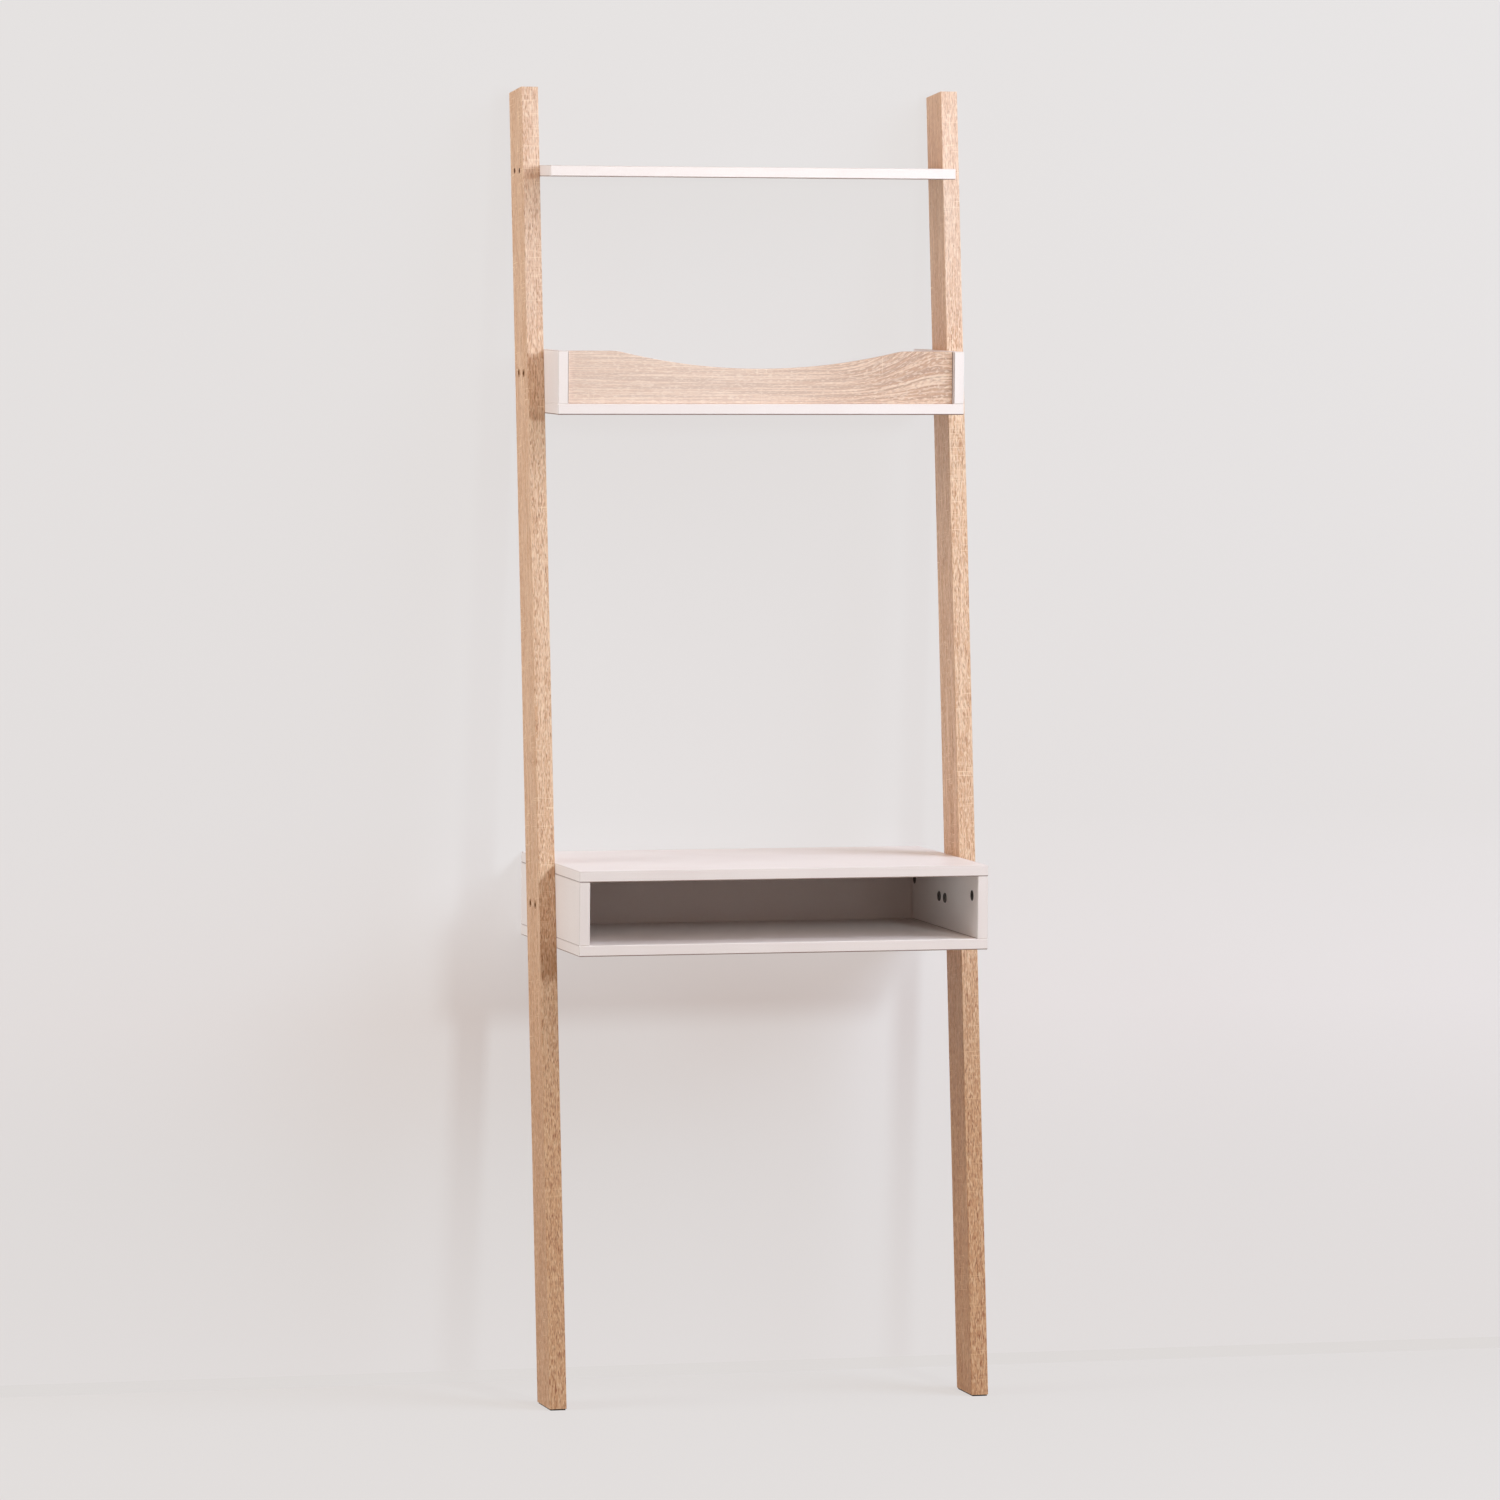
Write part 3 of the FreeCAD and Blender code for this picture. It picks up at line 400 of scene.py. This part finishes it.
def thread(tree, radius, depth, pitch, start, length):
    """A ridge that winds up a shank whose core has that radius."""
    turns = add(tree, "ShaderNodeMath", (length, pitch), operation="DIVIDE")
    spiral = add(tree, "GeometryNodeCurveSpiral", {
        "Resolution": 20, "Rotations": turns, "Start Radius": radius, "End Radius": radius,
        "Height": length})
    upright = add(tree, "GeometryNodeSetCurveNormal", {"Curve": spiral}, mode="Z_UP")
    ridge = add(tree, "GeometryNodeCurvePrimitiveCircle", {"Resolution": 4, "Radius": depth})
    wound = add(tree, "GeometryNodeCurveToMesh", {
        "Curve": upright, "Profile Curve": ridge, "Fill Caps": True})
    lift = add(tree, "ShaderNodeCombineXYZ", {2: start})
    return add(tree, "GeometryNodeTransform", {"Geometry": wound, "Translation": lift})


SMOOTH_BELOW = math.radians(35)


def finished(tree, given, *forms):
    """Ends a tree: a copy at each place, its Z axis along the place's aim, smooth but for its edges."""
    whole = add(tree, "GeometryNodeJoinGeometry")
    for form in forms:
        tree.links.new(form.outputs[0], whole.inputs[0])
    angle = add(tree, "GeometryNodeInputMeshEdgeAngle")
    gentle = add(tree, "ShaderNodeMath", (angle, SMOOTH_BELOW), operation="LESS_THAN")
    soft = add(tree, "GeometryNodeSetShadeSmooth", {"Geometry": whole}, domain="FACE")
    soft = add(tree, "GeometryNodeSetShadeSmooth", {"Geometry": soft, "Shade Smooth": gentle}, domain="EDGE")
    aim = add(tree, "GeometryNodeInputNamedAttribute", {"Name": "aim"}, data_type="FLOAT_VECTOR")
    turn = add(tree, "FunctionNodeAlignRotationToVector", {"Vector": aim}, axis="Z")
    copies = add(tree, "GeometryNodeInstanceOnPoints", {
        "Points": given["Places"], "Instance": soft, "Rotation": turn})
    real = add(tree, "GeometryNodeRealizeInstances", {"Geometry": copies})
    clad = add(tree, "GeometryNodeSetMaterial", {"Geometry": real, "Material": given["Finish"]})
    add(tree, "NodeGroupOutput", {0: clad})
    return tree


def fasten(name, tree, finish, slot, replaced, places, **sizes):
    """Runs a tree on places given in millimetres, keeps a plain mesh and lets it stand for a node."""
    marks = bpy.data.meshes.new(name)
    marks.from_pydata([[number / 1000 for number in place] for place, aim in places], [], [])
    aims = marks.attributes.new("aim", "FLOAT_VECTOR", "POINT")
    aims.data.foreach_set("vector", [number for place, aim in places for number in aim])
    piece = bpy.data.objects.new(name, marks)
    bpy.context.scene.collection.objects.link(piece)
    maker = piece.modifiers.new(name, "NODES")
    maker.node_group = tree
    for item in tree.interface.items_tree:
        word = item.name.lower().replace(" ", "_")
        if word in sizes:
            maker[item.identifier] = sizes[word] / 1000
        elif item.name == "Finish":
            maker[item.identifier] = finish
    plain = bpy.data.meshes.new_from_object(piece.evaluated_get(bpy.context.evaluated_depsgraph_get()))
    piece.modifiers.clear()
    piece.data = plain
    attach(piece, "root")
    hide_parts(replaced)


def box_mm(node):
    """The lowest corner, the middle and the highest corner of a node's box, in millimetres."""
    low, high = (corner * 1000 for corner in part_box(node))
    return low, (low + high) / 2, high


def spaced(middle, spacing, count=2):
    """Places in a row about a middle."""
    return [middle + (number - (count - 1) / 2) * spacing for number in range(count)]


STEP = 1e-5  # a change of radius takes this much height
RUN_OUT = 0.001  # from a head or a face to the first turn of a thread, in metres
SIDES = (-1, 1)
INNER_FACE, SIDE_MIDDLE = (place.x for place in box_mm("desk_right_side")[:2])
PAIR_SPACING = 28


def pair_spots(node, x, outward):
    """The two level places at each side of the joint that a node's box is centred on."""
    middle = box_mm(node)[1]
    return [((side * x, y, middle.z), (side * outward, 0, 0))
            for side in SIDES for y in spaced(middle.y, PAIR_SPACING)]


tree, given = fastener_tree("key_bolt", "Head Radius", "Head Thickness", "Thread Radius", "Thread Depth",
                            "Pitch", "Length", "Key Radius", "Key Depth")
head, thick, length = given["Head Radius"], given["Head Thickness"], given["Length"]
root = total(tree, (given["Thread Radius"], 1), (given["Thread Depth"], -1))
face = total(tree, (thick, -1))
form = turned(tree, [(face, total(tree, (head, 1), (thick, -0.5))), (total(tree, (thick, -0.5)), head),
                     (0.0, head), (STEP, root), (length, root)])
socket = prism(tree, 6, given["Key Radius"], total(tree, (given["Key Depth"], 2)),
               centre=add(tree, "ShaderNodeCombineXYZ", {2: face}))
wound = thread(tree, root, given["Thread Depth"], given["Pitch"], RUN_OUT,
               total(tree, (length, 1), start=-1.5 * RUN_OUT))
key_bolt = finished(tree, given, carved(tree, form, socket), wound)

zinc = metal("zinc_plated_steel", "C6C2BD", "B2AEA9", 0.40)
dull_zinc = metal("dull_zinc_plate", "76706C", "5F5A56", 0.45)
for joint in ("desk", "tray"):
    fasten(f"{joint}_key_bolts", key_bolt, dull_zinc, "zinc_fastener", f"{joint}_bolts",
           pair_spots(f"{joint}_bolts", INNER_FACE, 1), head_radius=7, head_thickness=1.5, thread_radius=3,
           thread_depth=0.55, pitch=1.5, length=35, key_radius=2.3, key_depth=2.5)


# --- Rail inserts -------------------------------------------------------------------------------
# Brass inserts with a coarse outer thread, screwed into the rails flush with the outer face by
# the hexagon in their mouth. The bolts end a little way inside them.

RIM = 0.0002

tree, given = fastener_tree("hexagon_insert", "Radius", "Thread Depth", "Pitch", "Length", "Bore Radius",
                            "Key Radius", "Key Depth", "Collar")
crest, collar, length = given["Radius"], given["Collar"], given["Length"]
root = total(tree, (crest, 1), (given["Thread Depth"], -1))
form = turned(tree, [(0.0, total(tree, (crest, 1), start=-RIM)), (RIM, crest), (collar, crest),
                     (total(tree, (collar, 1), start=STEP), root), (length, root)])
mouth = prism(tree, 6, given["Key Radius"], total(tree, (given["Key Depth"], 2)))
bore = prism(tree, 32, given["Bore Radius"], total(tree, (length, 3)))
wound = thread(tree, root, given["Thread Depth"], given["Pitch"], 3 * RUN_OUT,
               total(tree, (length, 1), start=-4.5 * RUN_OUT))
insert = finished(tree, given, carved(tree, carved(tree, form, bore), mouth), wound)
brass = metal("turned_brass", "C08C5A", "A8784C", 0.42)
for joint in ("desk", "tray"):
    node = f"{joint}_rail_inserts"
    fasten(f"{joint}_threaded_inserts", insert, brass, "insert_brass", node,
           pair_spots(node, box_mm(node)[2].x, -1), radius=6, thread_depth=1, pitch=2.5, length=15,
           bore_radius=3.15, key_radius=3.7, key_depth=3.5, collar=1.2)


# --- Screws -------------------------------------------------------------------------------------
# Board screws with a deep coarse thread and a round head with a hexagon socket. The four in the
# rails that hold the shelf are bronzed, and the others, driven up from below, are zinc plated.

EDGE = 0.0005

tree, given = fastener_tree("board_screw", "Head Radius", "Head Height", "Thread Radius", "Thread Depth",
                            "Pitch", "Length", "Tip", "Key Radius", "Key Depth")
head, height, length, tip = (given[size] for size in ("Head Radius", "Head Height", "Length", "Tip"))
root = total(tree, (given["Thread Radius"], 1), (given["Thread Depth"], -1))
form = turned(tree, [(0.0, total(tree, (head, 1), start=-EDGE)), (EDGE, head), (height, head),
                     (total(tree, (height, 1), start=STEP), root),
                     (total(tree, (length, 1), (tip, -1)), root), (length, STEP)])
socket = prism(tree, 6, given["Key Radius"], total(tree, (given["Key Depth"], 2)))
wound = thread(tree, root, given["Thread Depth"], given["Pitch"], total(tree, (height, 1), start=RUN_OUT),
               total(tree, (length, 1), (tip, -1), (height, -1), start=-RUN_OUT))
board_screw = finished(tree, given, carved(tree, form, socket), wound)

SHANK = {"thread_radius": 2.5, "thread_depth": 0.7, "pitch": 2.2, "tip": 3}
HEAD = {"head_radius": 4, "head_height": 3.5, "key_radius": 2.3, "key_depth": 1}
bronzed = metal("bronzed_steel", "7A4A2A", "5C3720", 0.5)
fasten("shelf_rail_screws", board_screw, bronzed, "bronzed_screw", "shelf_screws",
       pair_spots("shelf_screws", box_mm("shelf_screws")[2].x, -1), length=50, **HEAD, **SHANK)

UP, DOWN = (0, 0, 1), (0, 0, -1)
IN_SIDES = (-SIDE_MIDDLE, SIDE_MIDDLE)
IN_CROSS_BOARD = (-180, 0, 180)
for node, across, count, spacing in (("tray_side_screws", IN_SIDES, 2, 98),
                                     ("tray_front_screws", IN_CROSS_BOARD, 1, 0),
                                     ("desk_bottom_screws", IN_SIDES, 2, 236),
                                     ("desk_back_screws", IN_CROSS_BOARD, 1, 0)):
    low, middle, high = box_mm(node)
    fasten(node.replace("screws", "board_screws"), board_screw, zinc, "zinc_fastener", node,
           [((x, y, low.z), UP) for x in across for y in spaced(middle.y, spacing, count)],
           length=45, **HEAD, **SHANK)


# --- Cam locks and pins -------------------------------------------------------------------------
# Die-cast zinc cams in the desk sides, each with a cross for the driver and a ring about it. They
# pull down a steel pin that is screwed into the desk top.

tree, given = fastener_tree("cam_lock", "Radius", "Depth", "Bevel", "Slot Length", "Slot Width",
                            "Slot Depth", "Ring Radius", "Ring Width", "Way Radius", "Way Depth")
radius, depth, bevel = given["Radius"], given["Depth"], given["Bevel"]
inner = total(tree, (radius, 1), (bevel, -1))
form = turned(tree, [(0.0, inner), (bevel, radius), (total(tree, (depth, 1), (bevel, -1)), radius),
                     (depth, inner)])
long, wide, deep = given["Slot Length"], given["Slot Width"], total(tree, (given["Slot Depth"], 2))
slots = [add(tree, "GeometryNodeMeshCube", {"Size": add(tree, "ShaderNodeCombineXYZ", size)})
         for size in ((long, wide, deep), (wide, long, deep))]
path = add(tree, "GeometryNodeCurvePrimitiveCircle", {"Resolution": 36, "Radius": given["Ring Radius"]})
wire = add(tree, "GeometryNodeCurvePrimitiveCircle", {"Resolution": 8, "Radius": given["Ring Width"]})
ring = add(tree, "GeometryNodeCurveToMesh", {"Curve": path, "Profile Curve": wire})
way = prism(tree, 32, given["Way Radius"], total(tree, (radius, 3)), (0, math.pi / 2, 0),
            add(tree, "ShaderNodeCombineXYZ", {2: given["Way Depth"]}))
for tool in (*slots, ring, way):
    form = carved(tree, form, tool)
cam = finished(tree, given, form)

cam_middle = box_mm("desk_cam_locks")[1]
cam_rows = spaced(cam_middle.y, 279.5)
die_cast = metal("die_cast_zinc", "5A5552", "48433F", 0.45, 1.2)
fasten("cast_cam_locks", cam, die_cast, "cam_metal", "desk_cam_locks",
       [((side * INNER_FACE, y, cam_middle.z), (side, 0, 0)) for side in SIDES for y in cam_rows],
       radius=7.5, depth=12.5, bevel=0.3, slot_length=9, slot_width=1.6, slot_depth=1.5, ring_radius=6,
       ring_width=0.25, way_radius=3.15, way_depth=7.5)

tree, given = fastener_tree("cam_pin", "Thread Radius", "Thread Depth", "Thread Length", "Pitch",
                            "Shaft Radius", "Neck Radius", "Neck Length", "Head Length", "Reach")
shaft, neck, reach, head = (given[size] for size in ("Shaft Radius", "Neck Radius", "Reach", "Head Length"))
head_start = ((reach, 1), (head, -0.5))
neck_start = (*head_start, (given["Neck Length"], -1))
top = total(tree, (given["Thread Length"], -1))
root = total(tree, (given["Thread Radius"], 1), (given["Thread Depth"], -1))
form = turned(tree, [(top, root), (-STEP, root), (0.0, shaft), (total(tree, *neck_start), shaft),
                     (total(tree, *neck_start, start=STEP), neck), (total(tree, *head_start), neck),
                     (total(tree, *head_start, start=STEP), shaft),
                     (total(tree, (reach, 1), (head, 0.5)), shaft)])
wound = thread(tree, root, given["Thread Depth"], given["Pitch"], total(tree, (top, 1), start=RUN_OUT),
               total(tree, (given["Thread Length"], 1), start=-1.5 * RUN_OUT))
cam_pin = finished(tree, given, form, wound)
desk_joint = box_mm("desk_top")[0].z
fasten("threaded_cam_pins", cam_pin, zinc, "zinc_fastener", "desk_cam_pins",
       [((x, y, desk_joint), DOWN) for x in IN_SIDES for y in cam_rows],
       thread_radius=2.5, thread_depth=0.6, thread_length=11, pitch=2, shaft_radius=3, neck_radius=1.8,
       neck_length=4, head_length=3.5, reach=desk_joint - cam_middle.z)


# --- Dowels -------------------------------------------------------------------------------------
# Fluted beech dowels, 8 mm thick with chamfered ends, that locate the desk top, the desk back
# and the tray front in the sides. They are turned and pressed, and stay unfinished.

beech, tree, shader, place = material("turned_beech")
fleck = noise(tree, place, (0.6, 0.6, 2.5), 0.45, 0.65)
colour = layered(tree, linear("DDB98F"), (fleck, 1.0, "C79C6E", "MIX"))
feed(tree, shader, {"Base Color": colour, "Roughness": 0.65})

tree, given = fastener_tree("fluted_dowel", "Radius", "Flute Depth", "Length", "Chamfer")
radius, length, chamfer = given["Radius"], given["Length"], given["Chamfer"]
groove = add(tree, "ShaderNodeMath", (given["Flute Depth"], radius), operation="DIVIDE")
star = add(tree, "GeometryNodeCurveStar", {
    "Points": 20, "Outer Radius": 1.0, "Inner Radius": total(tree, (groove, -1), start=1.0)})
end = total(tree, (radius, 1), (chamfer, -1))
form = turned(tree, [(0.0, end), (chamfer, radius), (total(tree, (length, 1), (chamfer, -1)), radius),
                     (length, end)], star)
dowel = finished(tree, given, form)
for node, spacing, count in (("desk_top_dowels", 215.5, 2), ("desk_back_dowels", 44, 2),
                             ("tray_front_dowels", 0, 1)):
    low, middle, high = box_mm(node)
    if node == "desk_top_dowels":
        spots = [((x, y, high.z), DOWN) for x in IN_SIDES for y in spaced(middle.y, spacing, count)]
    else:
        spots = [((side * high.x, middle.y, z), (-side, 0, 0))
                 for side in SIDES for z in spaced(middle.z, spacing, count)]
    fasten(node.replace("dowels", "fluted_dowels"), dowel, beech, "beech_dowel", node, spots,
           radius=4, flute_depth=0.25, length=29.4, chamfer=1)


# --- Wall brackets ------------------------------------------------------------------------------
# Two small angles of zinc-plated sheet in the tray keep the desk from tipping. Each hangs on one
# wall screw and is held to the tray bottom by a short screw.

dress(metal("zinc_plated_sheet", "B9B7B5", "A5A2A0", 0.38, 3.0), "left_wall_bracket", "right_wall_bracket")
low, middle, high = box_mm("wall_bracket_screws")
fasten("bracket_board_screws", board_screw, zinc, "zinc_fastener", "wall_bracket_screws",
       [((side * box_mm("right_wall_bracket")[1].x, middle.y, high.z), DOWN) for side in SIDES],
       head_radius=3.5, head_height=2, thread_radius=1.75, thread_depth=0.4, pitch=1.4, length=15, tip=2,
       key_radius=2.3, key_depth=1)


# --- Floor and wall -----------------------------------------------------------------------------
# Plain matt stage. It shows its own pale colour and keeps soft shadows, stronger ones on the wall
# under the desk, and it stops no light on its way to the object and hides nothing from behind or
# below. On the wall its own light is dimmer low down and most under the desk: a painted shade.
# The floor turns up a little at the wall, as a skirting of the same stuff.

WALL_TOP = 2.0


def graded(tree, height, stops):
    """A colour that changes evenly from one height to the next."""
    share = add(tree, "ShaderNodeMath", (height, WALL_TOP), operation="DIVIDE")
    ramp = add(tree, "ShaderNodeValToRGB", [share])
    steps = ramp.color_ramp.elements
    while len(steps) > len(stops):
        steps.remove(steps[-1])
    while len(steps) < len(stops):
        steps.new(1.0)
    for step, (level, colour) in zip(steps, stops):
        step.position = level / WALL_TOP
        step.color = linear(colour)
    return ramp


def looked_at(tree):
    """1 for the camera and for what shows in metal and glass, and 0 for the light on the object."""
    path = add(tree, "ShaderNodeLightPath").outputs
    seen = add(tree, "ShaderNodeMath", (path["Is Camera Ray"], path["Is Glossy Ray"]), operation="MAXIMUM")
    return add(tree, "ShaderNodeMath", (seen, path["Is Transmission Ray"]), operation="MAXIMUM")


def stage_plane(name, corners, *levels):
    """A flat part of the stage. Each level is a height, its matt colour and its own light."""
    mesh = bpy.data.meshes.new(name)
    mesh.from_pydata(corners, [], [(0, 1, 2, 3)])
    plane = bpy.data.objects.new(name, mesh)
    bpy.context.scene.collection.objects.link(plane)
    made, tree, shader, place = material(name)
    tree.nodes.remove(shader)
    height = add(tree, "ShaderNodeSeparateXYZ", [place]).outputs[2]
    matt = add(tree, "ShaderNodeBsdfDiffuse", {
        "Color": graded(tree, height, [(level, colour) for level, colour, light in levels])})
    glow = add(tree, "ShaderNodeEmission", {
        "Color": graded(tree, height, [(level, light) for level, colour, light in levels])})
    face = add(tree, "ShaderNodeAddShader", (matt, glow))
    back = add(tree, "ShaderNodeNewGeometry").outputs["Backfacing"]
    front = add(tree, "ShaderNodeMath", (looked_at(tree), back), operation="SUBTRACT", use_clamp=True)
    clear = add(tree, "ShaderNodeBsdfTransparent")
    shown = add(tree, "ShaderNodeMixShader", (front, clear, face))
    feed(tree, tree.nodes["Material Output"], {"Surface": shown})
    mesh.materials.append(made)


REACH = 9.0
WALL_Y = cad_box[1].y + 0.0005
STRIP_Y = WALL_Y - 0.0002
SKIRTING = 0.0166
stage_plane("floor", [(-REACH, -REACH, 0), (REACH, -REACH, 0), (REACH, WALL_Y, 0), (-REACH, WALL_Y, 0)],
            (0.0, "6C6C6C", "CDC9C7"))
for name, y, top, levels in (
        ("skirting", STRIP_Y, SKIRTING, [(0.0, "3F3F3F", "D9D5D3")]),
        # the wall's own light dips below the desk's underside: painted shade under the desk
        ("wall", WALL_Y, REACH, [
            (0.0, "686868", "D3CFCE"), (0.3, "8F8F8F", "C1BDBC"), (0.52, "B4B4B4", "AAA4A3"),
            (0.8, "585858", "D8D4D3"), (1.9, "404040", "DFDCDB")])):
    stage_plane(name, [(-REACH, y, 0), (REACH, y, 0), (REACH, y, top), (-REACH, y, top)], *levels)


# --- Light --------------------------------------------------------------------------------------
# Cool daylight from a softbox in front on the right, one high on the right and two wide ones on
# the left, a cool one behind, a weak warm lamp above, and a warm, even sky that stands for the
# room.

LIT_POINT = Vector((0, 0, 1))


def softbox(name, place, size, power, colour):
    """A square lamp that faces the middle of the desk."""
    lamp = bpy.data.lights.new(name, "AREA")
    lamp.shape = "SQUARE"
    lamp.size = size
    lamp.energy = power
    lamp.color = colour
    holder = bpy.data.objects.new(name, lamp)
    holder.location = place
    holder.rotation_euler = (LIT_POINT - Vector(place)).to_track_quat("-Z", "Y").to_euler()
    bpy.context.scene.collection.objects.link(holder)


softbox("key", (0.87, -3.6, 1.86), 0.4, 44.6, (0.80, 0.94, 1.0))
softbox("side", (-3.25, -0.1, 1.9), 1.5, 47.5, (0.90, 0.95, 1.0))
softbox("low", (-3.0, -1.2, 0.5), 1.2, 14.5, (0.55, 0.91, 1.0))
softbox("high", (2.4, -1.4, 3.0), 2.2, 104, (0.70, 0.83, 1.0))
softbox("overhead", (0.0, -1.3, 3.4), 1.0, 6.5, (1.0, 0.60, 0.30))
softbox("behind", (0.3, 4.0, 1.0), 1.5, 40, (0.60, 0.85, 1.0))

world = bpy.data.worlds.new("studio")
bpy.context.scene.world = world
world.use_nodes = True
tree = world.node_tree
sky = feed(tree, tree.nodes["Background"], {"Color": (1.0, 0.70, 0.54, 1), "Strength": 0.36})
backdrop = add(tree, "ShaderNodeBackground", {"Color": linear("E4E1E0")})
both = add(tree, "ShaderNodeMixShader", (looked_at(tree), sky, backdrop))
feed(tree, tree.nodes["World Output"], {"Surface": both})


# --- Camera -------------------------------------------------------------------------------------
# A long lens at eye level, about eleven metres away in front and to the left, so that the desk's
# upright lines stay nearly parallel.

STAND = Matrix.Translation((-2.9179, -10.5622, 1.6682))
TURN, TILT, ROLL = (math.radians(angle) for angle in (-15.4142, 90 - 4.0008, 0.4472))

lens = bpy.data.cameras.new("camera")
lens.lens = 188.97
lens.clip_end = 100
camera = bpy.data.objects.new("camera", lens)
camera.matrix_world = (STAND @ Matrix.Rotation(TURN, 4, "Z") @ Matrix.Rotation(TILT, 4, "X")
                       @ Matrix.Rotation(ROLL, 4, "Z"))
bpy.context.scene.collection.objects.link(camera)
bpy.context.scene.camera = camera
bpy.context.scene.view_settings.view_transform = "Standard"
